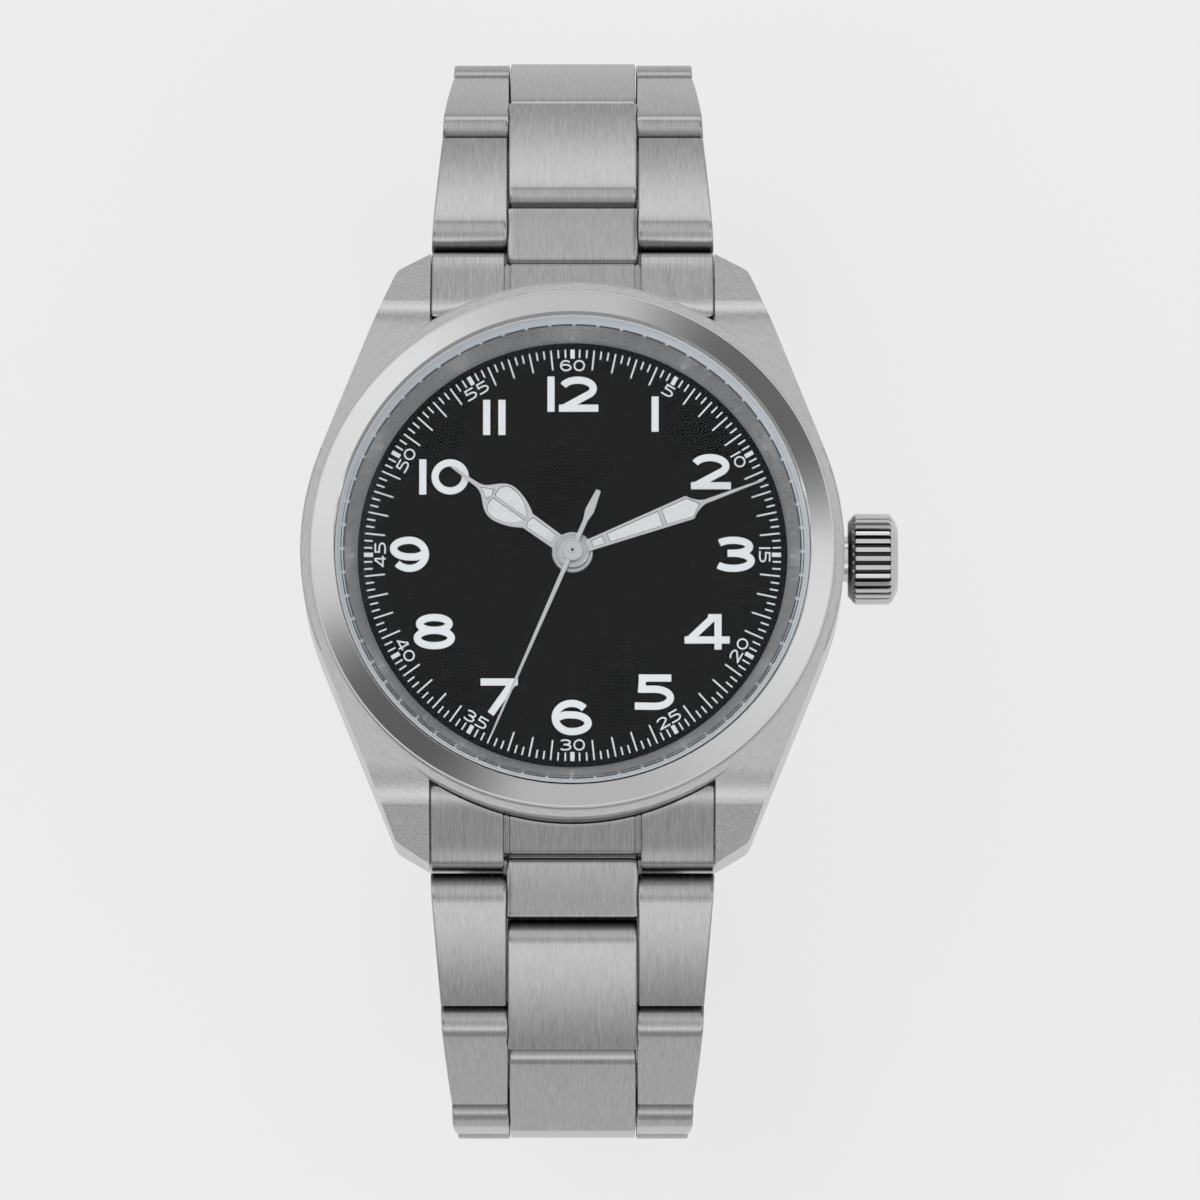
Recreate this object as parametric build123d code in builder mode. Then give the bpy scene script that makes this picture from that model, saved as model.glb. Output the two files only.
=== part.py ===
from build123d import *
import os
from math import cos, radians, sin

os.makedirs("parts", exist_ok=True)

# Fits and fine clearances, in millimetres like every length here
press_gap = 0.01  # round a pressed pin
running_gap = 0.05  # round a turning pin
seat_gap = 0.05  # between pieces that lie together
side_gap = 0.1  # between pieces that pass each other
cut_over = 1.0  # how far a cut runs past the piece
edge_break = 0.12  # chamfer on finished edges

# Movement, holder and case wall: they set the case's width
movement_radius = 15.0
movement_ring_wall = 1.95
case_wall = 2.05
case_floor = 0.9
case_rim = 9.5
case_foot_chamfer = 0.6
case_rim_chamfer = 0.15

# Lugs: the origin is the middle of the case back's flat face, 12 o'clock is +Y, the crown +X
lug_gap = 20.0
lug_length = 2.65  # past the barrel
lug_corner_drop = 1.4  # the outer corner lies this much nearer to the barrel
lug_width = 2.34  # at the tip
lug_flank_angle = 22
lug_corner_radius = 1.1
lug_tip_radius = 0.5
lug_slope_length = 6.7  # from where the top starts to fall to the tip
lug_slope_radius = 5.0
lug_slope_angle = 35
lug_floor = 1.1
lug_hole_radius = 0.45
lug_hole_depth = 0.9

# Bezel, crystal and chapter ring
bezel_step = 0.7  # from the case's rim in to the bezel
bezel_height = 0.8
bezel_crown = 0.12
bezel_edge = 0.3
bezel_collar_step = 0.4
bezel_collar_depth = 1.0
crystal_lap = 0.5
crystal_gasket_wall = 0.17
crystal_edge_thickness = 1.2
crystal_chamfer = 0.3
crystal_outer_rise = 0.7
crystal_inner_rise = 0.6
crystal_dome_shares = [(0.67, 0.56), (0.34, 0.89)]  # of the radius, and of the rise there
chapter_slope_width = 0.9

# Dial and movement
dial_lap = 1.15
dial_thickness = 0.4
dial_depth = 2.6  # from the case's rim down to the dial
dial_hole_radius = 1.1
main_plate_thickness = 2.2
train_height = 1.1
bridge_thickness = 0.7
rotor_gap = 0.25
rotor_web = 0.35
rotor_rim = 0.85
rotor_rim_width = 2.4
rotor_hub_radius = 2.0
rotor_post_radius = 0.6
barrel_margin = 1.2
barrel_rise = 1.2
balance_radius = 4.2
balance_margin = 1.6
balance_offset = 3.4
balance_rim_width = 0.6
balance_arm = 0.6
wheel_thickness = 0.25
centre_wheel_radius = 2.5
seconds_wheel_radius = 2.5
hour_wheel_radius = 2.9

# Hands, with their heights over the dial's face
hour_tube_radius = 0.85
minute_tube_radius = 0.56
seconds_arbor_radius = 0.2
hand_thickness = 0.18
hand_hub_thickness = 0.3
hour_hand_height = 1.0
minute_hand_height = 1.5
seconds_hand_height = 2.15
hour_hand_length = 10.5
minute_hand_gap = 0.78  # from the tip to the chapter ring
seconds_hand_gap = 0.8
seconds_tail_length = 4.6
hour_hub_radius = 1.43
minute_hub_radius = 1.15
hour_stem_half = 0.535
hour_neck_half = 0.6
hour_bulb_start = 3.85
hour_bulb_middle = 5.9
hour_needle_start = 8.4
hour_petal_rise = 1.7
hour_rhomb_half = 0.45
hour_shoulder_share = 0.41
hour_waist_share = 0.3
hour_petal_share = 0.3
minute_root_half = 0.33
minute_shoulder = 8.8
minute_needle_start = 9.9
minute_waist_share = 0.22
minute_windows = [(1.47, 2.35), (2.7, 6.6), (6.85, 8.8)]
needle_half = 0.15
needle_tip_half = 0.06
seconds_paddle_shares = [0.5, 0.66]
seconds_hub_radius = 0.75
seconds_hub_height = 0.25
seconds_hand_width = 0.32
hour_hand_width = 2.8
minute_hand_width = 1.73
hand_frame = 0.17
hour_hand_angle = 305.8
minute_hand_angle = 69.2
seconds_hand_angle = 203.4

# Crown, tube and stem
crown_height = 5.2
crown_radius = 3.2
crown_gap = 0.27
crown_length = 3.5
crown_inner_chamfer = 0.55
crown_outer_chamfer = 0.45
crown_flute_count = 32
crown_flute_depth = 0.2
crown_flute_width = 0.36
crown_face_radius = 2.45
crown_recess_radius = 1.75
crown_recess_depth = 1.4
tube_radius = 1.6
tube_bore_radius = 1.0
tube_length = 3.2
stem_radius = 0.75
stem_groove_radius = 0.5
stem_groove_width = 0.7
stem_inset = 7.0  # from the movement's edge
stem_seat_depth = 1.0
crown_pull = 1.2
tube_end_gap = 0.3
setting_lever_inset = 4.4
setting_lever_width = 1.6
setting_lever_length = 3.6

# Case back
back_step = 1.35
back_slope_width = 3.1
back_slope = 0.5
back_collar_depth = 0.8
back_collar_wall = 1.0
back_recess_depth = 0.25
back_notch_count = 6
back_notch_width = 2.0
back_notch_length = 1.4
gasket_size = 0.35

# Bracelet: rows of links on pins, and the way each row points, down from level
link_pitch = 9.5
link_half = 1.6
link_round = 1.4
link_pin_radius = 0.5
link_pin_inset = 0.15  # from the flanks
link_bar = 0.9
link_angles = [30, 59, 92, 115, 139, 161]
first_pin_reach = 1.95  # past the lug tips
first_pin_z = 3.5
clasp_share = 0.8  # of the lug gap
taper_shares = [0, 0.36, 0.72, 0.88, 0.96, 1, 1]
centre_share = 0.46  # of the lug gap
centre_taper = 0.4

# End links between the lugs
end_link_drop = 0.35
end_link_lip = 0.35
end_link_floor = 1.6
end_link_centre_inset = 0.7
end_groove_width = 0.12
end_groove_depth = 0.2
end_groove_spacing = 0.28
bar_inset = 1.3
bar_z = 3.4
bar_radius = 0.75
bar_tip_radius = 0.4
bar_tip_length = 0.75
tongue_half = 1.15
end_link_centre_round = 0.45
tongue_wall = 0.2

# Folding clasp, with heights outward from its pins' level
cover_height = 3.4
cover_plate = 1.0
cover_wall = 0.85
cover_lip = 0.7
cover_ramp = 4.0
cover_block = 3.6
fold_near = 5.6
fold_height = 0.9
fold_radius = 1.2
fold_pin_radius = 0.5
hinge_back = 4.0
hinge_height = 1.7
hinge_radius = 0.9
plate_cutback = 1.5
blade_inset = 2.2  # from the cover's flanks
blade_thickness = 0.7
outer_blade_level = 1.3
inner_blade_level = -0.2
fork_start = 1.6  # past the cover's hinge
fork_radius = 1.2
fork_floor = 0.9
knuckle_half = 2.5
button_radius = 1.1
button_flange_radius = 1.4
button_flange = 0.25
button_stand = 0.75
button_height = 0.9
button_edge = 0.2

# Levels and places in the case, worked out from the sizes above
case_bore_radius = movement_radius + seat_gap + movement_ring_wall
case_radius = case_bore_radius + case_wall
lug_reach = case_radius + lug_length
lug_corner_reach = lug_reach - lug_corner_drop
lug_slope_start = lug_reach - lug_slope_length
bar_y = lug_reach - bar_inset
first_pin_y = lug_reach + first_pin_reach
end_link_centre_end = lug_reach - end_link_centre_inset
tongue_inner_end = bar_y - bar_radius - running_gap - tongue_wall
chapter_bottom_radius = movement_radius + seat_gap
chapter_top_radius = chapter_bottom_radius + chapter_slope_width
chapter_outer_radius = case_bore_radius - side_gap
crystal_radius = chapter_top_radius + crystal_lap
bezel_bore_radius = crystal_radius + crystal_gasket_wall
bezel_radius = case_radius - bezel_step
bezel_collar_radius = case_bore_radius + bezel_collar_step
bezel_top = case_rim + bezel_height
dial_radius = chapter_bottom_radius + dial_lap
dial_top = case_rim - dial_depth
minute_hand_length = chapter_bottom_radius - minute_hand_gap
seconds_hand_length = chapter_bottom_radius - seconds_hand_gap
barrel_radius = (movement_radius - barrel_margin - centre_wheel_radius - side_gap) / 2
barrel_place = (barrel_radius + barrel_margin - movement_radius, barrel_rise)
balance_place = (balance_offset, balance_radius + balance_margin - movement_radius)
crown_start = case_radius + crown_gap
back_radius = case_radius - back_step
back_flat_radius = back_radius - back_slope_width
crystal_floor = bezel_top - crystal_edge_thickness
dome_points = [
    (crystal_radius * place, bezel_top + crystal_outer_rise * rise) for place, rise in crystal_dome_shares
]
dial_floor = dial_top - dial_thickness
plate_top = dial_floor - seat_gap
plate_floor = plate_top - main_plate_thickness
bridge_top = plate_floor - train_height
bridge_floor = bridge_top - bridge_thickness
rotor_top = bridge_floor - rotor_gap
hour_level = dial_top + hour_hand_height - hand_thickness
minute_level = dial_top + minute_hand_height - hand_thickness
seconds_level = dial_top + seconds_hand_height - hand_thickness
centre_wheel_floor = plate_floor - side_gap - wheel_thickness
seconds_wheel_floor = centre_wheel_floor - side_gap - wheel_thickness
minute_flare = (minute_hand_width / 2 - minute_root_half) / minute_shoulder
cock_foot_y = balance_place[1] - balance_radius - side_gap - balance_rim_width / 2
stem_inner_end = movement_radius - stem_inset
setting_lever_place = movement_radius - setting_lever_inset
lever_start = setting_lever_place - stem_groove_width
crown_plane = Plane(origin=(crown_start, 0, crown_height), x_dir=(1, 0, 0), z_dir=(0, -1, 0))
lug_half_gap = lug_gap / 2
bracelet_width = lug_gap - 2 * seat_gap
centre_width = lug_gap * centre_share
clasp_width = lug_gap * clasp_share
blade_half_width = clasp_width / 2 - blade_inset
lug_corner_x = lug_half_gap + lug_width
slope_end_y = lug_slope_start + lug_slope_radius * sin(radians(lug_slope_angle))
slope_end_z = case_rim - lug_slope_radius * (1 - cos(radians(lug_slope_angle)))
slope_fall = sin(radians(lug_slope_angle)) / cos(radians(lug_slope_angle))

# The pins of the 12 o'clock side, from the end link to the clasp
pins = [(first_pin_y, first_pin_z)]
for angle in link_angles:
    pin_y = pins[-1][0] + link_pitch * cos(radians(angle))
    pin_z = pins[-1][1] - link_pitch * sin(radians(angle))
    pins.append((pin_y, pin_z))
clasp_length = 2 * pins[-1][0]
link_widths = [bracelet_width - (bracelet_width - clasp_width) * share for share in taper_shares]
centre_widths = [centre_width - centre_taper * share for share in taper_shares]
link_near = link_half + side_gap
link_join = link_pitch / 2
outer_end = link_pitch - link_half - side_gap
outer_shoulder_y = first_pin_y - link_half - side_gap
groove_places = [
    side * (centre_width + spacing * end_groove_spacing) / 2 for side in (-1, 1) for spacing in (-1, 1)
]
hinge_u = clasp_length - hinge_back
hinge_ear_radius = cover_height - hinge_height
plate_end = hinge_u - plate_cutback
fork_u = hinge_u + fork_start
button_u = clasp_length / 2

# Mid case: barrel and four lugs, bored for the movement, the tube and the spring bars
with BuildPart() as mid_case:
    with BuildSketch(Plane.XY.offset(lug_floor)):
        with BuildLine():
            flank = Line(
                (case_radius * cos(radians(lug_flank_angle)), case_radius * sin(radians(lug_flank_angle))),
                (lug_corner_x, lug_corner_reach),
            )
            tip = Line(flank @ 1, (lug_half_gap, lug_reach))
            inner = Line(tip @ 1, (lug_half_gap, (flank @ 0).Y))
            Line(inner @ 1, flank @ 0)
        lug_face = make_face()
        fillet(lug_face.vertices().sort_by(Axis.Y)[-2:-1], lug_corner_radius)
        fillet(lug_face.vertices().sort_by(Axis.Y)[-1:], lug_tip_radius)
        mirror(about=Plane.YZ)
        mirror(about=Plane.XZ)
    extrude(amount=case_rim - lug_floor)
    with BuildSketch(Plane.YZ):
        with BuildLine():
            flat = Line((0, case_rim), (lug_slope_start, case_rim))
            bend = JernArc(flat @ 1, flat % 1, lug_slope_radius, -lug_slope_angle)
            slope = Line(
                bend @ 1,
                (lug_reach + cut_over, slope_end_z - (lug_reach + cut_over - slope_end_y) * slope_fall),
            )
            Polyline(slope @ 1, (lug_reach + cut_over, lug_floor), (0, lug_floor), flat @ 0)
        make_face()
        mirror(about=Plane.YZ)
    extrude(amount=case_radius, both=True, mode=Mode.INTERSECT)
    with BuildSketch(Plane.XZ):
        with BuildLine():
            Polyline(
                (0, case_floor),
                (case_radius - case_foot_chamfer, case_floor),
                (case_radius, case_floor + case_foot_chamfer),
                (case_radius, case_rim - case_rim_chamfer),
                (case_radius - case_rim_chamfer, case_rim),
                (0, case_rim),
                close=True,
            )
        make_face()
    revolve(axis=Axis.Z)
    with BuildSketch(Plane.XY.offset(case_floor)):
        Circle(case_bore_radius)
    extrude(amount=case_rim - case_floor, mode=Mode.SUBTRACT)
    with BuildSketch(Plane.YZ.offset(case_radius + cut_over)):
        with Locations((0, crown_height)):
            Circle(tube_radius + press_gap)
    extrude(amount=-case_radius - cut_over, mode=Mode.SUBTRACT)
    with BuildSketch(Plane.YZ.offset(lug_half_gap - cut_over)):
        with Locations((bar_y, bar_z), (-bar_y, bar_z)):
            Circle(lug_hole_radius)
    extrude(amount=lug_hole_depth + cut_over, mode=Mode.SUBTRACT)
    with BuildSketch(Plane.YZ.offset(cut_over - lug_half_gap)):
        with Locations((bar_y, bar_z), (-bar_y, bar_z)):
            Circle(lug_hole_radius)
    extrude(amount=-lug_hole_depth - cut_over, mode=Mode.SUBTRACT)
    with BuildSketch(Plane.XY.offset(case_rim - bezel_collar_depth)):
        Circle(bezel_collar_radius + seat_gap)
    extrude(amount=bezel_collar_depth + cut_over, mode=Mode.SUBTRACT)
    with BuildSketch(Plane.XY.offset(case_floor)):
        Circle(case_bore_radius + gasket_size + side_gap)
    extrude(amount=gasket_size, mode=Mode.SUBTRACT)
mid_case.part.label = "mid_case"
export_step(mid_case.part, "parts/mid_case.step")

# Bezel: crowned polished ring with a collar in the case's counterbore
with BuildPart() as bezel:
    with BuildSketch(Plane.XZ):
        with BuildLine():
            Polyline(
                (bezel_bore_radius, case_rim - bezel_collar_depth + seat_gap),
                (bezel_collar_radius, case_rim - bezel_collar_depth + seat_gap),
                (bezel_collar_radius, case_rim + seat_gap),
                (bezel_radius, case_rim + seat_gap),
                (bezel_radius, bezel_top - bezel_edge),
                (bezel_radius - bezel_edge, bezel_top),
                ((bezel_radius + bezel_bore_radius) / 2, bezel_top + bezel_crown),
                (bezel_bore_radius, bezel_top),
                close=True,
            )
        make_face()
    revolve(axis=Axis.Z)
bezel.part.label = "bezel"
export_step(bezel.part, "parts/bezel.step")

# Crystal: domed in facets, hollowed below, with a bevelled edge
with BuildPart() as crystal:
    with BuildSketch(Plane.XZ):
        with BuildLine():
            Polyline(
                (0, crystal_floor + crystal_inner_rise),
                (chapter_top_radius, crystal_floor),
                (crystal_radius, crystal_floor),
                (crystal_radius, bezel_top - crystal_chamfer),
                (crystal_radius - crystal_chamfer, bezel_top),
                *dome_points,
                (0, bezel_top + crystal_outer_rise),
                close=True,
            )
        make_face()
    revolve(axis=Axis.Z)
crystal.part.label = "crystal"
export_step(crystal.part, "parts/crystal.step")

# Gasket between the crystal and the bezel
with BuildPart() as crystal_gasket:
    with BuildSketch(Plane.XY.offset(crystal_floor)):
        Circle(bezel_bore_radius - press_gap)
        Circle(crystal_radius + press_gap, mode=Mode.SUBTRACT)
    extrude(amount=crystal_edge_thickness - crystal_chamfer)
crystal_gasket.part.label = "crystal_gasket"
export_step(crystal_gasket.part, "parts/crystal_gasket.step")

# Chapter ring: slopes from the crystal down to the dial
with BuildPart() as chapter_ring:
    with BuildSketch(Plane.XZ):
        with BuildLine():
            Polyline(
                (chapter_bottom_radius, dial_top + seat_gap),
                (chapter_outer_radius, dial_top + seat_gap),
                (chapter_outer_radius, case_rim - bezel_collar_depth),
                (bezel_bore_radius - side_gap, case_rim - bezel_collar_depth),
                (bezel_bore_radius - side_gap, crystal_floor - seat_gap),
                (chapter_top_radius, crystal_floor - seat_gap),
                close=True,
            )
        make_face()
    revolve(axis=Axis.Z)
chapter_ring.part.label = "chapter_ring"
export_step(chapter_ring.part, "parts/chapter_ring.step")

# Dial
with BuildPart() as dial:
    with BuildSketch(Plane.XY.offset(dial_floor)):
        Circle(dial_radius)
        Circle(dial_hole_radius, mode=Mode.SUBTRACT)
    extrude(amount=dial_thickness)
dial.part.label = "dial"
export_step(dial.part, "parts/dial.step")

# Ring that centres the movement in the case
with BuildPart() as movement_ring:
    with BuildSketch(Plane.XY.offset(bridge_floor)):
        Circle(case_bore_radius - side_gap)
        Circle(movement_radius + seat_gap, mode=Mode.SUBTRACT)
    extrude(amount=plate_top - bridge_floor)
    with BuildSketch(Plane.YZ.offset(case_radius)):
        with Locations((0, crown_height)):
            Circle(tube_bore_radius)
    extrude(amount=-case_radius, mode=Mode.SUBTRACT)
movement_ring.part.label = "movement_ring"
export_step(movement_ring.part, "parts/movement_ring.step")

# Main plate, with the hour wheel's recess, the stem's bore and the setting lever's slot
with BuildPart() as main_plate:
    with BuildSketch(Plane.XY.offset(plate_floor)):
        Circle(movement_radius)
    extrude(amount=main_plate_thickness)
    with BuildSketch(Plane.XY.offset(plate_top)):
        Circle(hour_wheel_radius + side_gap)
    extrude(amount=-2 * wheel_thickness - side_gap, mode=Mode.SUBTRACT)
    with BuildSketch(Plane.XY.offset(plate_floor)):
        Circle(minute_tube_radius + running_gap)
    extrude(amount=main_plate_thickness, mode=Mode.SUBTRACT)
    with BuildSketch(Plane.YZ.offset(stem_inner_end - side_gap)):
        with Locations((0, crown_height)):
            Circle(stem_radius + side_gap)
    extrude(amount=movement_radius, mode=Mode.SUBTRACT)
    with BuildSketch(Plane.XY.offset(plate_top)):
        with Locations((lever_start - side_gap, 0)):
            Rectangle(
                setting_lever_length + crown_pull + 2 * side_gap,
                setting_lever_width + 2 * side_gap,
                align=(Align.MIN, Align.CENTER),
            )
    extrude(amount=crown_height - plate_top, mode=Mode.SUBTRACT)
main_plate.part.label = "main_plate"
export_step(main_plate.part, "parts/main_plate.step")

# Train bridge over the wheels, open round the balance
with BuildPart() as train_bridge:
    with BuildSketch(Plane.XY.offset(bridge_floor)):
        Circle(movement_radius - side_gap)
        Circle(rotor_post_radius + running_gap, mode=Mode.SUBTRACT)
        with Locations(balance_place):
            Circle(balance_radius + 2 * side_gap, mode=Mode.SUBTRACT)
        with Locations((balance_place[0], -movement_radius)):
            Rectangle(
                2 * balance_radius + 4 * side_gap,
                2 * (movement_radius + balance_place[1]),
                mode=Mode.SUBTRACT,
            )
    extrude(amount=bridge_thickness)
    with BuildSketch(Plane.XY.offset(bridge_top)):
        Circle(movement_radius - side_gap)
        Circle(movement_radius - bridge_thickness, mode=Mode.SUBTRACT)
        with Locations((balance_place[0], -movement_radius)):
            Rectangle(
                2 * balance_radius + 4 * side_gap,
                2 * (movement_radius + balance_place[1]),
                mode=Mode.SUBTRACT,
            )
    extrude(amount=train_height - seat_gap)
train_bridge.part.label = "train_bridge"
export_step(train_bridge.part, "parts/train_bridge.step")

# Mainspring barrel
with BuildPart() as mainspring_barrel:
    with BuildSketch(Plane.XY.offset(bridge_top + side_gap)):
        with Locations(barrel_place):
            Circle(barrel_radius)
    extrude(amount=train_height - 2 * side_gap)
    chamfer(mainspring_barrel.edges().filter_by(GeomType.CIRCLE), edge_break)
mainspring_barrel.part.label = "mainspring_barrel"
export_step(mainspring_barrel.part, "parts/mainspring_barrel.step")

# Balance wheel on its staff, and the cock that holds it
with BuildPart() as balance_wheel:
    with BuildSketch(Plane.XY.offset(bridge_top + side_gap)):
        with Locations(balance_place):
            Circle(balance_radius)
            Circle(balance_radius - balance_rim_width, mode=Mode.SUBTRACT)
            Rectangle(2 * balance_radius - balance_rim_width, balance_arm)
            Circle(2 * balance_arm)
    extrude(amount=train_height / 2)
balance_wheel.part.label = "balance_wheel"
export_step(balance_wheel.part, "parts/balance_wheel.step")

with BuildPart() as balance_cock:
    with BuildSketch(Plane.XY.offset(bridge_floor)):
        with Locations(balance_place):
            Circle(2 * balance_arm)
        with Locations((balance_place[0], (balance_place[1] - movement_radius) / 2)):
            Rectangle(2 * balance_arm + balance_rim_width, movement_radius + balance_place[1])
        Circle(movement_radius - side_gap, mode=Mode.INTERSECT)
    extrude(amount=bridge_thickness)
    with BuildSketch(Plane.XY.offset(bridge_top)):
        with Locations((balance_place[0], cock_foot_y)):
            Rectangle(2 * balance_arm + balance_rim_width, balance_rim_width)
    extrude(amount=train_height - seat_gap)
balance_cock.part.label = "balance_cock"
export_step(balance_cock.part, "parts/balance_cock.step")

# Winding rotor: web, heavy rim and its post in the bridge
with BuildPart() as rotor:
    with BuildSketch(Plane.XY.offset(rotor_top - rotor_rim)):
        Circle(movement_radius - 2 * side_gap)
        Circle(movement_radius - 2 * side_gap - rotor_rim_width, mode=Mode.SUBTRACT)
        with Locations((0, movement_radius)):
            Rectangle(3 * movement_radius, 2 * movement_radius, mode=Mode.SUBTRACT)
    extrude(amount=rotor_rim)
    with BuildSketch(Plane.XY.offset(rotor_top - rotor_web)):
        Circle(movement_radius - 2 * side_gap - rotor_rim_width / 2)
        with Locations((0, movement_radius)):
            Rectangle(3 * movement_radius, 2 * movement_radius, mode=Mode.SUBTRACT)
        Circle(rotor_hub_radius)
    extrude(amount=rotor_web)
    with BuildSketch(Plane.XY.offset(rotor_top)):
        Circle(rotor_post_radius)
    extrude(amount=rotor_gap + bridge_thickness)
rotor.part.label = "rotor"
export_step(rotor.part, "parts/rotor.step")

# Wheels that carry the hands, each on its tube or arbor
with BuildPart() as hour_wheel:
    with BuildSketch(Plane.XY.offset(plate_top - 2 * wheel_thickness)):
        Circle(hour_wheel_radius)
    extrude(amount=wheel_thickness)
    with BuildSketch(Plane.XY.offset(plate_top - 2 * wheel_thickness)):
        Circle(hour_tube_radius)
    extrude(amount=hour_level + hand_thickness - plate_top + 2 * wheel_thickness)
    with BuildSketch(Plane.XY.offset(plate_floor)):
        Circle(minute_tube_radius + running_gap)
    extrude(amount=case_rim, mode=Mode.SUBTRACT)
hour_wheel.part.label = "hour_wheel"
export_step(hour_wheel.part, "parts/hour_wheel.step")

with BuildPart() as centre_wheel:
    with BuildSketch(Plane.XY.offset(centre_wheel_floor)):
        Circle(centre_wheel_radius)
    extrude(amount=wheel_thickness)
    with BuildSketch(Plane.XY.offset(centre_wheel_floor)):
        Circle(minute_tube_radius)
    extrude(amount=minute_level + hand_thickness - centre_wheel_floor)
    with BuildSketch(Plane.XY.offset(centre_wheel_floor)):
        Circle(seconds_arbor_radius + running_gap)
    extrude(amount=case_rim, mode=Mode.SUBTRACT)
centre_wheel.part.label = "centre_wheel"
export_step(centre_wheel.part, "parts/centre_wheel.step")

with BuildPart() as seconds_wheel:
    with BuildSketch(Plane.XY.offset(seconds_wheel_floor)):
        Circle(seconds_wheel_radius)
    extrude(amount=wheel_thickness)
    with BuildSketch(Plane.XY.offset(seconds_wheel_floor)):
        Circle(seconds_arbor_radius)
    extrude(amount=seconds_level + hand_thickness / 2 - seconds_wheel_floor)
seconds_wheel.part.label = "seconds_wheel"
export_step(seconds_wheel.part, "parts/seconds_wheel.step")

# Hour hand: stem, bulb and needle, with windows for the luminous filling
with BuildPart() as hour_hand:
    hour_plane = Plane.XY.offset(hour_level).rotated((0, 0, -hour_hand_angle))
    with BuildSketch(hour_plane):
        with BuildLine():
            stem_edge = Line((hour_stem_half, 0), (hour_neck_half, hour_bulb_start))
            bulb_edge = ThreePointArc(
                stem_edge @ 1,
                (hour_hand_width * hour_shoulder_share, (hour_bulb_start + hour_bulb_middle) / 2),
                (hour_hand_width / 2, hour_bulb_middle),
            )
            waist_edge = Spline(
                bulb_edge @ 1,
                (hour_hand_width * hour_waist_share, (hour_bulb_middle + hour_needle_start) / 2),
                (needle_half, hour_needle_start),
                tangents=[(0, 1), (0, 1)],
            )
            Polyline(waist_edge @ 1, (needle_tip_half, hour_hand_length), (0, hour_hand_length), (0, 0))
            Line((0, 0), stem_edge @ 0)
        make_face()
        mirror(about=Plane.YZ)
        Circle(hour_hub_radius)
        Circle(hour_tube_radius + press_gap, mode=Mode.SUBTRACT)
    extrude(amount=hand_thickness)
    with BuildSketch(hour_plane):
        Circle(hour_hub_radius)
        Circle(hour_tube_radius + press_gap, mode=Mode.SUBTRACT)
    extrude(amount=hand_hub_thickness)
    with BuildSketch(hour_plane):
        with BuildLine():
            Polyline(
                (0, hour_hub_radius + hand_frame),
                (hour_stem_half - hand_frame, hour_hub_radius + hand_frame),
                (hour_neck_half - hand_frame, hour_bulb_start - hand_frame),
                (0, hour_bulb_start),
                close=True,
            )
        make_face()
        with BuildLine():
            petal_side = ThreePointArc(
                (hand_frame / 2, hour_bulb_start + hand_frame),
                (
                    hour_hand_width * hour_shoulder_share - hand_frame,
                    (hour_bulb_start + hour_bulb_middle) / 2 + hand_frame / 2,
                ),
                (hour_hand_width / 2 - hand_frame, hour_bulb_middle),
            )
            petal_top = ThreePointArc(
                petal_side @ 1,
                (hour_hand_width * hour_petal_share, hour_bulb_middle + hour_petal_rise / 2),
                (hand_frame / 2, hour_bulb_middle + hour_petal_rise / 2),
            )
            Line(petal_top @ 1, petal_side @ 0)
        make_face()
        with BuildLine():
            Polyline(
                (0, hour_bulb_middle + hour_petal_rise / 2 + hand_frame),
                (hour_rhomb_half, hour_bulb_middle + hour_petal_rise / 2 + 2 * hand_frame),
                (0, hour_bulb_middle + hour_petal_rise + 2 * hand_frame),
                close=True,
            )
        make_face()
        mirror(about=Plane.YZ)
    extrude(amount=hand_thickness, mode=Mode.SUBTRACT)
hour_hand.part.label = "hour_hand"
export_step(hour_hand.part, "parts/hour_hand.step")

# Minute hand: widens to its shoulders and ends in a needle, with three windows
with BuildPart() as minute_hand:
    minute_plane = Plane.XY.offset(minute_level).rotated((0, 0, -minute_hand_angle))
    with BuildSketch(minute_plane):
        with BuildLine():
            blade_edge = Line((minute_root_half, 0), (minute_hand_width / 2, minute_shoulder))
            shoulder_edge = Spline(
                blade_edge @ 1,
                (minute_hand_width * minute_waist_share, (minute_shoulder + minute_needle_start) / 2),
                (needle_half, minute_needle_start),
            )
            Polyline(
                shoulder_edge @ 1,
                (needle_tip_half, minute_hand_length),
                (0, minute_hand_length),
                (0, 0),
            )
            Line((0, 0), blade_edge @ 0)
        make_face()
        mirror(about=Plane.YZ)
        Circle(minute_hub_radius)
        Circle(minute_tube_radius + press_gap, mode=Mode.SUBTRACT)
    extrude(amount=hand_thickness)
    with BuildSketch(minute_plane):
        Circle(minute_hub_radius)
        Circle(minute_tube_radius + press_gap, mode=Mode.SUBTRACT)
    extrude(amount=hand_hub_thickness)
    for window_start, window_end in minute_windows:
        with BuildSketch(minute_plane):
            with BuildLine():
                Polyline(
                    (0, window_start),
                    (minute_root_half + window_start * minute_flare - hand_frame, window_start),
                    (minute_root_half + window_end * minute_flare - hand_frame, window_end),
                    (0, window_end),
                    close=True,
                )
            make_face()
            mirror(about=Plane.YZ)
        extrude(amount=hand_thickness, mode=Mode.SUBTRACT)
    with BuildSketch(minute_plane):
        with BuildLine():
            Polyline(
                (0, minute_windows[-1][1]),
                (
                    minute_root_half + minute_windows[-1][1] * minute_flare - hand_frame,
                    minute_windows[-1][1],
                ),
                (0, minute_needle_start - 2 * hand_frame),
                close=True,
            )
        make_face()
        mirror(about=Plane.YZ)
    extrude(amount=hand_thickness, mode=Mode.SUBTRACT)
minute_hand.part.label = "minute_hand"
export_step(minute_hand.part, "parts/minute_hand.step")

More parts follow.
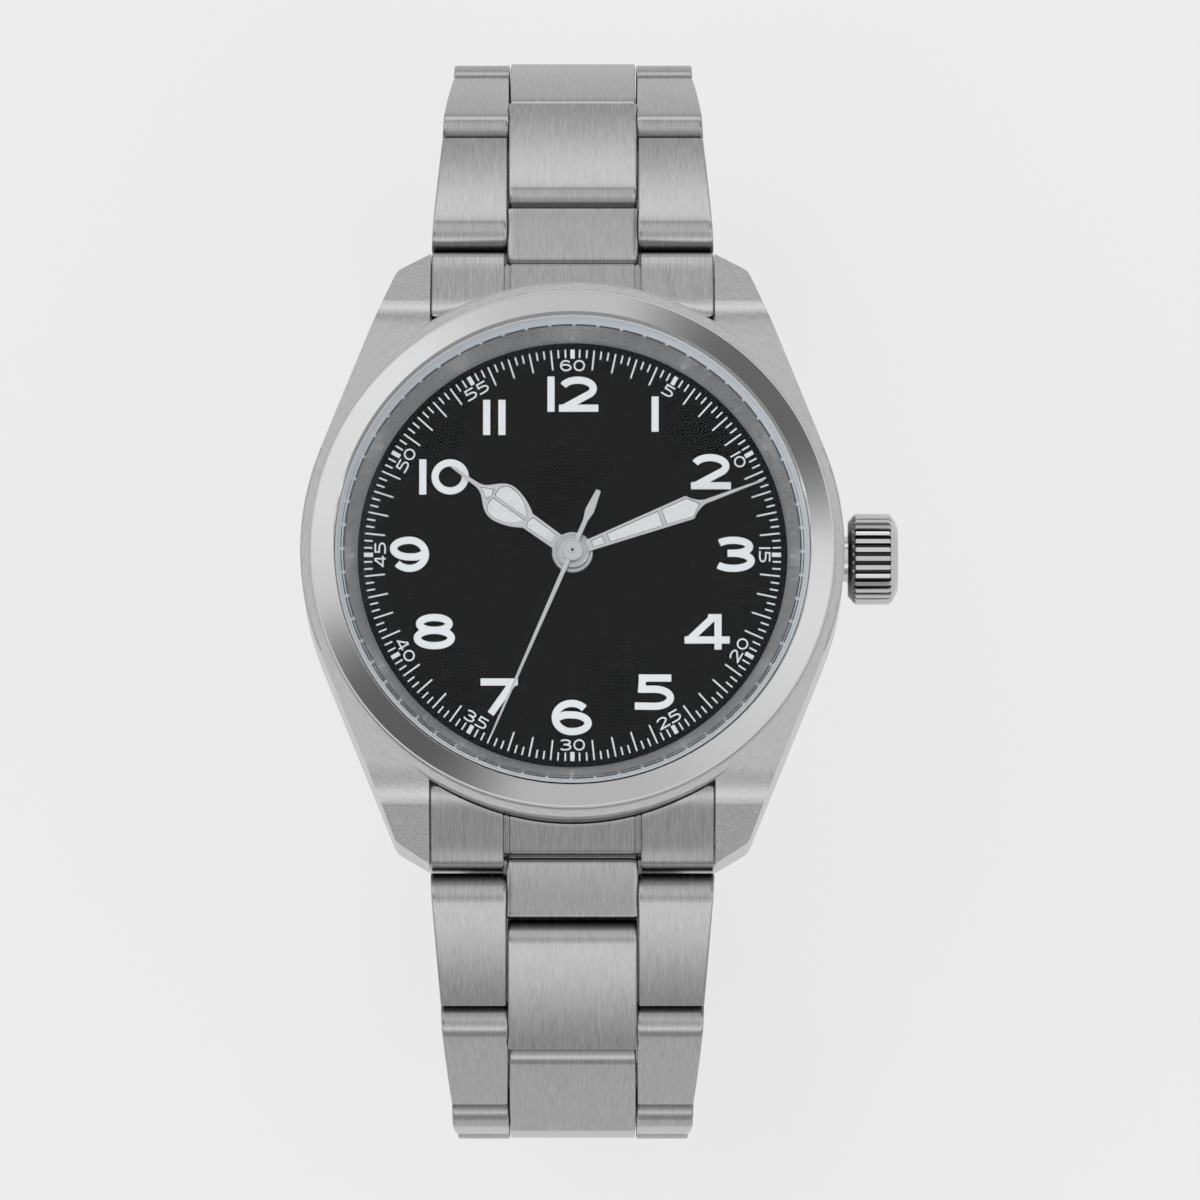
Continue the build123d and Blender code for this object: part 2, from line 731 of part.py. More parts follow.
# Seconds hand: long needle, arrow-headed tail and a tall hub
with BuildPart() as seconds_hand:
    seconds_plane = Plane.XY.offset(seconds_level).rotated((0, 0, -seconds_hand_angle))
    with BuildSketch(seconds_plane):
        with BuildLine():
            Polyline(
                (0, seconds_hand_length),
                (needle_tip_half, seconds_hand_length),
                (seconds_hand_width / 2, 0),
                (seconds_hand_width / 2, -seconds_tail_length * seconds_paddle_shares[0]),
                (seconds_hand_width, -seconds_tail_length * seconds_paddle_shares[1]),
                (seconds_hand_width / 2, -seconds_tail_length),
                (0, -seconds_tail_length),
                close=True,
            )
        make_face()
        mirror(about=Plane.YZ)
        Circle(seconds_hub_radius)
    extrude(amount=hand_thickness)
    with BuildSketch(seconds_plane):
        Circle(seconds_hub_radius)
    extrude(amount=-seconds_hub_height)
    with BuildSketch(seconds_plane.offset(-seconds_hub_height)):
        Circle(seconds_arbor_radius + press_gap)
    extrude(amount=seconds_hub_height + hand_thickness / 2 + press_gap, mode=Mode.SUBTRACT)
seconds_hand.part.label = "seconds_hand"
export_step(seconds_hand.part, "parts/seconds_hand.step")

# Crown tube, pressed into the case
with BuildPart() as crown_tube:
    with BuildSketch(Plane.YZ.offset(crown_start + crown_recess_depth - tube_end_gap)):
        with Locations((0, crown_height)):
            Circle(tube_radius)
            Circle(tube_bore_radius, mode=Mode.SUBTRACT)
    extrude(amount=-tube_length)
crown_tube.part.label = "crown_tube"
export_step(crown_tube.part, "parts/crown_tube.step")

# Crown: fluted grip with bevelled ends, recessed over the tube
with BuildPart() as crown:
    with BuildSketch(crown_plane):
        with BuildLine():
            Polyline(
                (0, 0),
                (0, crown_radius - crown_inner_chamfer),
                (crown_inner_chamfer, crown_radius),
                (crown_length - crown_outer_chamfer, crown_radius),
                (crown_length, crown_face_radius),
                (crown_length, 0),
                close=True,
            )
        make_face()
    revolve(axis=Axis(crown_plane.origin, (1, 0, 0)))
    with BuildSketch(Plane.YZ.offset(crown_start + crown_inner_chamfer)):
        with Locations((0, crown_height)):
            with PolarLocations(crown_radius, crown_flute_count):
                Rectangle(2 * crown_flute_depth, crown_flute_width)
    extrude(amount=crown_length, mode=Mode.SUBTRACT)
    with BuildSketch(Plane.YZ.offset(crown_start)):
        with Locations((0, crown_height)):
            Circle(crown_recess_radius)
    extrude(amount=crown_recess_depth, mode=Mode.SUBTRACT)
    with BuildSketch(Plane.YZ.offset(crown_start + crown_recess_depth)):
        with Locations((0, crown_height)):
            Circle(stem_radius + press_gap)
    extrude(amount=stem_seat_depth, mode=Mode.SUBTRACT)
crown.part.label = "crown"
export_step(crown.part, "parts/crown.step")

# Winding stem with the groove that the setting lever holds
with BuildPart() as winding_stem:
    with BuildSketch(Plane.YZ.offset(stem_inner_end)):
        with Locations((0, crown_height)):
            Circle(stem_radius)
    extrude(amount=crown_start + crown_recess_depth + stem_seat_depth - seat_gap - stem_inner_end)
    with BuildSketch(Plane.YZ.offset(setting_lever_place - stem_groove_width / 2)):
        with Locations((0, crown_height)):
            Circle(2 * stem_radius)
            Circle(stem_groove_radius, mode=Mode.SUBTRACT)
    extrude(amount=stem_groove_width, mode=Mode.SUBTRACT)
winding_stem.part.label = "winding_stem"
export_step(winding_stem.part, "parts/winding_stem.step")

# Setting lever: a plate over the stem with a nose in its groove
with BuildPart() as setting_lever:
    with BuildSketch(Plane.XY.offset(crown_height + stem_radius + seat_gap)):
        with Locations((lever_start, 0)):
            Rectangle(setting_lever_length, setting_lever_width, align=(Align.MIN, Align.CENTER))
    extrude(amount=plate_top - crown_height - stem_radius - 2 * seat_gap)
    with BuildSketch(Plane.XY.offset(crown_height + stem_groove_radius + seat_gap)):
        with Locations((setting_lever_place, 0)):
            Rectangle(stem_groove_width - 2 * side_gap, stem_groove_radius)
    extrude(amount=stem_radius - stem_groove_radius)
setting_lever.part.label = "setting_lever"
export_step(setting_lever.part, "parts/setting_lever.step")

# Case back: flat middle, sloping rim with key notches, and a collar in the case's bore
with BuildPart() as case_back:
    with BuildSketch(Plane.XZ):
        with BuildLine():
            Polyline(
                (0, 0),
                (back_flat_radius, 0),
                (back_radius, back_slope),
                (back_radius, case_floor - seat_gap),
                (case_bore_radius - side_gap, case_floor - seat_gap),
                (case_bore_radius - side_gap, case_floor + back_collar_depth),
                (case_bore_radius - side_gap - back_collar_wall, case_floor + back_collar_depth),
                (case_bore_radius - side_gap - back_collar_wall, case_floor - back_recess_depth),
                (0, case_floor - back_recess_depth),
                close=True,
            )
        make_face()
    revolve(axis=Axis.Z)
    with BuildSketch(Plane.XY):
        with PolarLocations(back_radius, back_notch_count):
            Rectangle(2 * back_notch_length, back_notch_width)
    extrude(amount=back_slope, mode=Mode.SUBTRACT)
case_back.part.label = "case_back"
export_step(case_back.part, "parts/case_back.step")

with BuildPart() as case_back_gasket:
    with BuildSketch(Plane.XY.offset(case_floor)):
        Circle(case_bore_radius + gasket_size)
        Circle(case_bore_radius, mode=Mode.SUBTRACT)
    extrude(amount=gasket_size - seat_gap)
case_back_gasket.part.label = "case_back_gasket"
export_step(case_back_gasket.part, "parts/case_back_gasket.step")

# Spring bars between the lugs: a body and two thin tips
with BuildPart() as lug_spring_bars:
    with BuildSketch(Plane.YZ.offset(side_gap - lug_half_gap)):
        with Locations((bar_y, bar_z), (-bar_y, bar_z)):
            Circle(bar_radius)
    extrude(amount=2 * (lug_half_gap - side_gap))
    with BuildSketch(Plane.YZ.offset(-lug_half_gap - bar_tip_length)):
        with Locations((bar_y, bar_z), (-bar_y, bar_z)):
            Circle(bar_tip_radius)
    extrude(amount=2 * (lug_half_gap + bar_tip_length))
lug_spring_bars.part.label = "lug_spring_bars"
export_step(lug_spring_bars.part, "parts/lug_spring_bars.step")

# End link: fills the space between two lugs, grooved like the bracelet's rows
with BuildPart() as end_link_12:
    with BuildSketch(Plane.YZ):
        with BuildLine():
            fall = Line(
                (slope_end_y, slope_end_z - end_link_drop),
                (
                    outer_shoulder_y,
                    slope_end_z - end_link_drop - (outer_shoulder_y - slope_end_y) * slope_fall,
                ),
            )
            hump = JernArc(fall @ 0, -(fall % 0), lug_slope_radius, lug_slope_angle)
            Polyline(
                hump @ 1,
                (lug_slope_start, end_link_floor),
                (outer_shoulder_y, end_link_floor),
                fall @ 1,
            )
        make_face()
    extrude(amount=lug_half_gap - seat_gap, both=True)
    fillet(end_link_12.edges().filter_by(Axis.X).sort_by(Axis.Y)[-2:].sort_by(Axis.Z)[-1], end_link_lip)
    with BuildSketch(*[Plane.YZ.offset(place) for place in groove_places]):
        with BuildLine():
            groove_fall = Line(fall @ 0 - (0, end_groove_depth), fall @ 1 - (0, end_groove_depth))
            groove_hump = JernArc(groove_fall @ 0, -(groove_fall % 0), lug_slope_radius, lug_slope_angle)
            Polyline(
                groove_hump @ 1,
                (lug_slope_start, case_rim),
                (outer_shoulder_y, case_rim),
                groove_fall @ 1,
            )
        make_face()
    extrude(amount=end_groove_width / 2, both=True, mode=Mode.SUBTRACT)
    with BuildSketch(Plane.XY):
        Circle(case_radius + seat_gap)
    extrude(amount=case_rim, mode=Mode.SUBTRACT)
    with BuildSketch(Plane.XY):
        with Locations((0, end_link_centre_end)):
            Rectangle(centre_width + 2 * side_gap, link_pitch, align=(Align.CENTER, Align.MIN))
    extrude(amount=case_rim, mode=Mode.SUBTRACT)
    with BuildSketch(Plane.XY):
        with Locations((0, tongue_inner_end - side_gap)):
            Rectangle(centre_width + 2 * side_gap, link_pitch, align=(Align.CENTER, Align.MIN))
    extrude(amount=bar_z + tongue_half + side_gap, mode=Mode.SUBTRACT)
    with BuildSketch(Plane.YZ):
        with Locations((bar_y, bar_z)):
            Circle(bar_radius + running_gap)
    extrude(amount=lug_half_gap, both=True, mode=Mode.SUBTRACT)
end_link_12.part.label = "end_link_12"
export_step(end_link_12.part, "parts/end_link_12.step")

with BuildPart() as end_link_6:
    mirror(end_link_12.part, about=Plane.XZ)
end_link_6.part.label = "end_link_6"
export_step(end_link_6.part, "parts/end_link_6.step")

# Centre piece of the end link: a tongue round the spring bar, and the first hinge's bore
with BuildPart() as end_link_centre_12:
    with BuildSketch(Plane.YZ):
        with BuildLine():
            tongue = Polyline(
                (end_link_centre_end + side_gap, bar_z - tongue_half),
                (tongue_inner_end, bar_z - tongue_half),
                (tongue_inner_end, bar_z + tongue_half),
                (end_link_centre_end + side_gap, bar_z + tongue_half),
                (end_link_centre_end + side_gap, first_pin_z + link_half - end_link_centre_round),
            )
            near_round = RadiusArc(
                tongue @ 1,
                (end_link_centre_end + side_gap + end_link_centre_round, first_pin_z + link_half),
                end_link_centre_round,
            )
            far_side = Polyline(
                near_round @ 1,
                (first_pin_y + link_half, first_pin_z + link_half),
                (first_pin_y + link_half, first_pin_z),
            )
            under_arc = RadiusArc(far_side @ 1, (first_pin_y, first_pin_z - link_half), link_half)
            Line(under_arc @ 1, tongue @ 0)
        make_face()
    extrude(amount=centre_width / 2, both=True)
    with BuildSketch(Plane.YZ):
        with Locations((bar_y, bar_z)):
            Circle(bar_radius + running_gap)
        with Locations((first_pin_y, first_pin_z)):
            Circle(link_pin_radius + running_gap)
    extrude(amount=centre_width, both=True, mode=Mode.SUBTRACT)
end_link_centre_12.part.label = "end_link_centre_12"
export_step(end_link_centre_12.part, "parts/end_link_centre_12.step")

with BuildPart() as end_link_centre_6:
    mirror(end_link_centre_12.part, about=Plane.XZ)
end_link_centre_6.part.label = "end_link_centre_6"
export_step(end_link_centre_6.part, "parts/end_link_centre_6.step")

# Links: each has an outer pair with its hinge pin, and a centre piece on a square bar
for number, angle in enumerate(link_angles, start=1):
    pin_y, pin_z = pins[number - 1]
    near_width = link_widths[number - 1]
    far_width = link_widths[number]
    row_width = centre_widths[number]
    along = (0, cos(radians(angle)), -sin(radians(angle)))
    outward = (0, sin(radians(angle)), cos(radians(angle)))
    side = Plane(origin=(0, pin_y, pin_z), x_dir=along, z_dir=(1, 0, 0))
    above = Plane(origin=(0, pin_y, pin_z), x_dir=along, z_dir=outward)
    with BuildPart() as outers:
        with BuildSketch(side):
            with BuildLine():
                back = CenterArc((0, 0), link_half, 90, 180)
                Polyline(back @ 1, (outer_end, -link_half), (outer_end, link_half), back @ 0)
            make_face()
        extrude(amount=near_width, both=True)
        with BuildSketch(above):
            with BuildLine():
                Polyline(
                    (-link_half, row_width / 2 + side_gap),
                    (outer_end, row_width / 2 + side_gap),
                    (outer_end, far_width / 2),
                    (-link_half, near_width / 2),
                    close=True,
                )
            make_face()
            mirror(about=Plane.XZ)
        extrude(amount=link_half, both=True, mode=Mode.INTERSECT)
        with BuildSketch(side):
            Circle(link_pin_radius)
            with Locations((link_join, 0)):
                Rectangle(link_bar, link_bar)
        extrude(amount=row_width / 2 + 2 * side_gap, both=True)
    outers.part.label = f"link_12_{number}_outers"
    export_step(outers.part, f"parts/link_12_{number}_outers.step")
    with BuildPart() as outers_below:
        mirror(outers.part, about=Plane.XZ)
    outers_below.part.label = f"link_6_{number}_outers"
    export_step(outers_below.part, f"parts/link_6_{number}_outers.step")
    with BuildPart() as centre:
        with BuildSketch(side):
            with BuildLine():
                front = Line((link_near, -link_half), (link_near, link_half - link_round))
                shoulder = RadiusArc(front @ 1, (link_near + link_round, link_half), link_round)
                end = Polyline(
                    shoulder @ 1,
                    (link_pitch + link_half, link_half),
                    (link_pitch + link_half, 0),
                )
                heel = RadiusArc(end @ 1, (link_pitch, -link_half), link_half)
                Line(heel @ 1, front @ 0)
            make_face()
        extrude(amount=row_width / 2, both=True)
        with BuildSketch(side):
            with Locations((link_join, 0)):
                Rectangle(link_bar + 2 * press_gap, link_bar + 2 * press_gap)
            with Locations((link_pitch, 0)):
                Circle(link_pin_radius + running_gap)
        extrude(amount=row_width, both=True, mode=Mode.SUBTRACT)
    centre.part.label = f"link_12_{number}_centre"
    export_step(centre.part, f"parts/link_12_{number}_centre.step")
    with BuildPart() as centre_below:
        mirror(centre.part, about=Plane.XZ)
    centre_below.part.label = f"link_6_{number}_centre"
    export_step(centre_below.part, f"parts/link_6_{number}_centre.step")

# Folding clasp, drawn from the last pin of the 12 o'clock side towards 6 o'clock, outward being down
clasp_side = Plane(origin=(0, pins[-1][0], pins[-1][1]), x_dir=(0, -1, 0), z_dir=(1, 0, 0))
last_row = centre_widths[-1] + 2 * side_gap

# Cover: a channel with a forked block at the near end and two hinge ears at the far end
with BuildPart() as clasp_cover:
    with BuildSketch(clasp_side):
        with BuildLine():
            nose = CenterArc((0, 0), link_half, 90, 180)
            Polyline(
                nose @ 1,
                (cover_block - cover_lip, -link_half),
                (cover_block, -cover_lip),
                (hinge_u, hinge_height - hinge_ear_radius),
            )
            ear_arc = CenterArc((hinge_u, hinge_height), hinge_ear_radius, -90, 180)
            Polyline(
                ear_arc @ 1,
                (link_near + link_round + cover_ramp, cover_height),
                (link_near + link_round, link_half),
                nose @ 0,
            )
        make_face()
    extrude(amount=clasp_width / 2, both=True)
    with BuildSketch(clasp_side):
        with Locations((cover_block, cover_height - cover_plate)):
            Rectangle(clasp_length, 2 * cover_height, align=(Align.MIN, Align.MAX))
        with Locations((plate_end, cover_height + cut_over)):
            Rectangle(clasp_length, 2 * cover_height, align=(Align.MIN, Align.MAX))
    extrude(amount=clasp_width / 2 - cover_wall, both=True, mode=Mode.SUBTRACT)
    with BuildSketch(clasp_side):
        with BuildLine():
            notch = Polyline(
                (-2 * link_half, cover_height),
                (-2 * link_half, -2 * link_half),
                (link_near, -2 * link_half),
                (link_near, link_half - link_round),
            )
            notch_round = RadiusArc(notch @ 1, (link_near + link_round, link_half), link_round)
            Polyline(notch_round @ 1, (link_near + link_round, cover_height), notch @ 0)
        make_face()
    extrude(amount=last_row / 2, both=True, mode=Mode.SUBTRACT)
    with BuildSketch(clasp_side):
        Circle(link_pin_radius + press_gap)
        with Locations((hinge_u, hinge_height)):
            Circle(fold_pin_radius + running_gap)
        with Locations((button_u, button_height)):
            Circle(button_radius + running_gap)
    extrude(amount=clasp_width, both=True, mode=Mode.SUBTRACT)
    with BuildSketch(clasp_side):
        Circle(link_pin_radius)
    extrude(amount=clasp_width / 2 - link_pin_inset, both=True)
clasp_cover.part.label = "clasp_cover"
export_step(clasp_cover.part, "parts/clasp_cover.step")

# Outer blade: hinged in the cover's ears, with the fold's middle knuckle at its other end
with BuildPart() as clasp_outer_blade:
    with BuildSketch(clasp_side):
        with BuildLine():
            Polyline(
                (fold_near, outer_blade_level),
                (hinge_u, outer_blade_level),
                (hinge_u, outer_blade_level + blade_thickness),
                (fold_near, outer_blade_level + blade_thickness),
                close=True,
            )
        make_face()
    extrude(amount=blade_half_width, both=True)
    with BuildSketch(clasp_side):
        with Locations((fold_near, fold_height)):
            Circle(fold_radius + side_gap)
    extrude(amount=clasp_width, both=True, mode=Mode.SUBTRACT)
    with BuildSketch(clasp_side):
        with Locations((hinge_u, hinge_height)):
            Circle(hinge_radius)
    extrude(amount=blade_half_width, both=True)
    with BuildSketch(clasp_side):
        with Locations((fold_near, fold_height)):
            Circle(fold_radius)
        with Locations((fold_near, fold_height + fold_radius)):
            Rectangle(
                2 * fold_radius,
                blade_thickness,
                align=(Align.MIN, Align.MAX),
            )
    extrude(amount=knuckle_half, both=True)
    with BuildSketch(clasp_side):
        with Locations((hinge_u, hinge_height), (fold_near, fold_height)):
            Circle(fold_pin_radius + press_gap)
    extrude(amount=clasp_width, both=True, mode=Mode.SUBTRACT)
    with BuildSketch(clasp_side):
        with Locations((hinge_u, hinge_height)):
            Circle(fold_pin_radius)
    extrude(amount=clasp_width / 2 - link_pin_inset, both=True)
    with BuildSketch(clasp_side):
        with Locations((fold_near, fold_height)):
            Circle(fold_pin_radius)
    extrude(amount=blade_half_width, both=True)
clasp_outer_blade.part.label = "clasp_outer_blade"
export_step(clasp_outer_blade.part, "parts/clasp_outer_blade.step")

# Inner blade: two knuckles at the fold and a fork for the last link of the 6 o'clock side
with BuildPart() as clasp_inner_blade:
    with BuildSketch(clasp_side):
        with Locations((fold_near, inner_blade_level)):
            Rectangle(fork_u - fold_near, blade_thickness, align=(Align.MIN, Align.MIN))
    extrude(amount=blade_half_width, both=True)
    with BuildSketch(clasp_side):
        with Locations((fold_near, fold_height)):
            Circle(fold_radius)
    extrude(amount=blade_half_width, both=True)
    with BuildSketch(clasp_side):
        with Locations((fold_near, fold_height)):
            Rectangle(2 * fold_radius + 4 * side_gap, 4 * fold_radius)
    extrude(amount=knuckle_half + side_gap, both=True, mode=Mode.SUBTRACT)
    with BuildSketch(clasp_side):
        with Locations((clasp_length, 0)):
            Circle(fork_radius)
        with Locations((fork_u, inner_blade_level + blade_thickness)):
            Rectangle(
                clasp_length - fork_u,
                fork_floor + inner_blade_level + blade_thickness,
                align=(Align.MIN, Align.MAX),
            )
    extrude(amount=blade_half_width, both=True)
    with BuildSketch(clasp_side):
        with Locations((fork_u, 0)):
            Rectangle(clasp_length, clasp_length, align=(Align.MIN, Align.CENTER))
    extrude(amount=last_row / 2, both=True, mode=Mode.SUBTRACT)
    with BuildSketch(clasp_side):
        with Locations((clasp_length, 0)):
            Circle(bar_tip_radius + running_gap)
        with Locations((fold_near, fold_height)):
            Circle(fold_pin_radius + running_gap)
    extrude(amount=clasp_width, both=True, mode=Mode.SUBTRACT)
clasp_inner_blade.part.label = "clasp_inner_blade"
export_step(clasp_inner_blade.part, "parts/clasp_inner_blade.step")

# Spring bar of the last link, its tips drawn in
with BuildPart() as clasp_spring_bar:
    with BuildSketch(Plane.YZ):
        with Locations((-pins[-1][0], pins[-1][1])):
            Circle(link_pin_radius)
    extrude(amount=centre_widths[-1] / 2 - side_gap, both=True)
clasp_spring_bar.part.label = "clasp_spring_bar"
export_step(clasp_spring_bar.part, "parts/clasp_spring_bar.step")

# Push buttons in the cover's walls: a bevelled head, and a flange inside
with BuildPart() as clasp_button_right:
    with BuildSketch(clasp_side.offset(clasp_width / 2 - cover_wall - side_gap)):
        with Locations((button_u, button_height)):
            Circle(button_radius)
    extrude(amount=cover_wall + side_gap + button_stand)
    chamfer(clasp_button_right.edges().filter_by(GeomType.CIRCLE).sort_by(Axis.X)[-1], button_edge)
    with BuildSketch(clasp_side.offset(clasp_width / 2 - cover_wall - side_gap)):
        with Locations((button_u, button_height)):
            Circle(button_flange_radius)
    extrude(amount=-button_flange)
clasp_button_right.part.label = "clasp_button_right"
export_step(clasp_button_right.part, "parts/clasp_button_right.step")

with BuildPart() as clasp_button_left:
    mirror(clasp_button_right.part, about=Plane.YZ)
clasp_button_left.part.label = "clasp_button_left"
export_step(clasp_button_left.part, "parts/clasp_button_left.step")
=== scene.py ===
import bmesh
import bpy
from math import atan2, cos, hypot, pi, radians, sin
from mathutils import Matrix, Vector


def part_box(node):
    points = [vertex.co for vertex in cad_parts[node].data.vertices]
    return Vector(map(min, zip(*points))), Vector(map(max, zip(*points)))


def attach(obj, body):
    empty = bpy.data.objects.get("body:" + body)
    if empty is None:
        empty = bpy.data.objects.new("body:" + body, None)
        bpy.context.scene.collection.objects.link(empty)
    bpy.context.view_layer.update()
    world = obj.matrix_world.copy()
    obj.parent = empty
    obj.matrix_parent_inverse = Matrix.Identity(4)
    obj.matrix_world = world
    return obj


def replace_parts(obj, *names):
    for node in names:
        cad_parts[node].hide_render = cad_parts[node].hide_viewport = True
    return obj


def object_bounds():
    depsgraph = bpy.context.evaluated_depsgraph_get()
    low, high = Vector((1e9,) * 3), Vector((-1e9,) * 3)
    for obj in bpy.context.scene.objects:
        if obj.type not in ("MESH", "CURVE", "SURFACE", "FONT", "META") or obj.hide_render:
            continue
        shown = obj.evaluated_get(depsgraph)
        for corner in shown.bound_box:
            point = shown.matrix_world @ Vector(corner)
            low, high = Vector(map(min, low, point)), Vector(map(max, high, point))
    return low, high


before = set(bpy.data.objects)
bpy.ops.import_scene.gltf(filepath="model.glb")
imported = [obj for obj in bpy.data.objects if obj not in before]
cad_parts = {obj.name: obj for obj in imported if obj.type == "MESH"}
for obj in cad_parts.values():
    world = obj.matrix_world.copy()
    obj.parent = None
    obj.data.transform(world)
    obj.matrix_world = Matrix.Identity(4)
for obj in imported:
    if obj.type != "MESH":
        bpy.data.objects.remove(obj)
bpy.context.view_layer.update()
mm = 0.001


class Net:
    # the shader nodes of one material, group or world

    def __init__(self, tree):
        self.tree = tree

    def put(self, socket, value):
        if isinstance(value, bpy.types.Node):
            value = value.outputs[0]
        if isinstance(value, bpy.types.NodeSocket):
            self.tree.links.new(value, socket)
        else:
            socket.default_value = value

    def add(self, kind, **inputs):
        made = self.tree.nodes.new("ShaderNode" + kind)
        for key, value in inputs.items():
            self.put(made.inputs[key.replace("_", " ")], value)
        return made

    def group(self, group, **inputs):
        made = self.add("Group")
        made.node_tree = group
        for key, value in inputs.items():
            self.put(made.inputs[key], value)
        return made

    def math(self, operation, *values, clamp=False):
        made = self.add("Math")
        made.operation = operation
        made.use_clamp = clamp
        for socket, value in zip(made.inputs, values):
            self.put(socket, value)
        return made.outputs[0]

    def times(self, *values):
        return self.math("MULTIPLY", *values)

    def without(self, value):
        return self.math("SUBTRACT", 1.0, value)

    def vector(self, operation, first, second=None):
        made = self.add("VectorMath")
        made.operation = operation
        self.put(made.inputs[0], first)
        if second is not None:
            self.put(made.inputs["Scale" if operation == "SCALE" else 1], second)
        return made.outputs["Value" if operation in ("LENGTH", "DOT_PRODUCT") else "Vector"]

    def range(self, value, start, end, low=0.0, high=1.0):
        return self.add("MapRange", Value=value, From_Min=start, From_Max=end, To_Min=low, To_Max=high)

    def mix(self, *values):
        both = self.add("MixShader")
        for socket, value in zip(both.inputs, values):
            self.put(socket, value)
        return both.outputs[0]


def newMaterial(name):
    mat = bpy.data.materials.new(name)
    mat.use_nodes = True
    mat.node_tree.nodes.clear()
    return mat, Net(mat.node_tree)


def finishMaterial(mat, shader):
    Net(mat.node_tree).add("OutputMaterial", Surface=shader)
    return mat


def newGroup(name, inputs, outputs):
    # an input without a default is a vector; everything else is a number
    group = bpy.data.node_groups.new(name, "ShaderNodeTree")
    for label, value in inputs.items():
        kind = "NodeSocketVector" if value is None else "NodeSocketFloat"
        socket = group.interface.new_socket(label, in_out="INPUT", socket_type=kind)
        if value is not None:
            socket.default_value = value
    for label in outputs:
        group.interface.new_socket(label, in_out="OUTPUT", socket_type="NodeSocketFloat")
    return Net(group), group.nodes.new("NodeGroupInput").outputs, group.nodes.new("NodeGroupOutput").inputs


# Brushed grain: fine and broad noise, given as a tone round 1 and a height
grainNoises = [
    (0.84, {"Scale": 1.0, "Detail": 2.0, "Roughness": 0.6}),
    (0.16, {"Scale": 0.3, "Detail": 1.0, "Roughness": 0.5}),
]


def makeGrainGroup():
    inputs = {"Vector": None, "Strength": 0.2, "Seed": 0.0}
    net, given, result = newGroup("brushedGrain", inputs, ("Tone", "Height"))
    shares = []
    for share, settings in grainNoises:
        noise = net.add("TexNoise", Vector=given["Vector"], **settings)
        noise.noise_dimensions = "4D"
        net.put(noise.inputs["W"], given["Seed"])
        shares.append(net.times(noise.outputs["Fac"], share))
    mixed = net.math("ADD", *shares)
    swing = net.times(net.math("SUBTRACT", mixed, 0.5), given["Strength"])
    net.put(result["Tone"], net.math("ADD", swing, 1.0))
    net.put(result["Height"], mixed)
    return net.tree


# Ring coordinates: radius, turn and height round the dial's axis, in metres and turns
def makeRingGroup():
    net, given, result = newGroup("ringPlace", {"Vector": None}, ("Radius", "Turn", "Level"))
    x, y, z = net.add("SeparateXYZ", Vector=given["Vector"]).outputs
    flat = net.add("CombineXYZ", X=x, Y=y)
    net.put(result["Radius"], net.vector("LENGTH", flat))
    net.put(result["Turn"], net.math("DIVIDE", net.math("ARCTAN2", x, y), 2 * pi))
    net.put(result["Level"], z)
    return net.tree


grainGroup = makeGrainGroup()
ringGroup = makeRingGroup()
print("node groups made")

dentDepth = 0.01 * mm


# A skin whose colour, roughness and dents follow the grain; a given shade darkens the colour as painted shade
def grainSkin(net, vector, color, rough, strength, bump, metallic=1.0, specular=0.5, seed=0.0, shade=None):
    grain = net.group(grainGroup, Vector=vector, Strength=strength, Seed=seed)
    tone = grain.outputs["Tone"]
    tint = tone if shade is None else net.times(tone, shade)
    dent = net.add("Bump", Strength=bump, Distance=dentDepth, Height=grain.outputs["Height"])
    skin = net.add(
        "BsdfPrincipled", Metallic=metallic, Specular_IOR_Level=specular, Base_Color=net.vector("SCALE", color, tint),
        Roughness=net.times(tone, rough), Normal=dent,
    )
    return skin


# On the bracelet's faces turned to the side by more than "turned", the grain follows the loop
sideGrain = {"turned": 0.7, "loop": {"Scale": (0, 0.65, 1), "Location": (0, 0, 0.0146)}}


def followLoop(net, place):
    # adds the distance from the loop's axis to X, so that the fine lines run along the links' sides
    turned = net.math("ABSOLUTE", net.add("SeparateXYZ", Vector=place["Normal"]).outputs["X"])
    side = net.math("GREATER_THAN", turned, sideGrain["turned"])
    loop = net.add("Mapping", Vector=place["Object"], **sideGrain["loop"])
    added = net.add("CombineXYZ", X=net.times(net.vector("LENGTH", loop), side))
    return net.vector("ADD", place["Object"], added)


# Steel with a straight grain: stretch is the grain's counts per metre across X, Y and Z,
# and seam says how much painted shade darkens it where one link rolls in under the next
def straightSkin(net, color, rough, stretch, strength, bump, seed=0.0, seam=0.0):
    place = net.add("TexCoord").outputs
    source, shade = place["Object"], None
    if seam:
        source = followLoop(net, place)
        # painted shade in the seams, read from each point's stored share
        rolled = net.add("Attribute")
        rolled.attribute_name = "paintedSeamShade"
        shade = net.without(net.times(rolled.outputs["Fac"], seam))
    mapping = net.add("Mapping", Vector=source, Scale=stretch)
    return grainSkin(net, mapping, color, rough, strength, bump, seed=seed, shade=shade)


def ringPlace(net):
    return net.group(ringGroup, Vector=net.add("TexCoord").outputs["Object"]).outputs


# Steel with a grain round the dial's axis: counts are per metre out, per turn and per metre up
def roundSkin(net, color, rough, counts, strength, bump, metallic=1.0):
    joined = net.add("CombineXYZ")
    for socket, value, count in zip(joined.inputs, ringPlace(net), counts):
        net.put(socket, net.times(value, count))
    return grainSkin(net, joined, color, rough, strength, bump, metallic)


# Smooth metal or plastic with a faint cloudiness
def softSkin(net, color, rough, metallic, scale, strength, bump, specular=0.5):
    place = net.add("TexCoord").outputs["Object"]
    mapping = net.add("Mapping", Vector=place, Scale=(scale, scale, scale))
    return grainSkin(net, mapping, color, rough, strength, bump, metallic, specular)


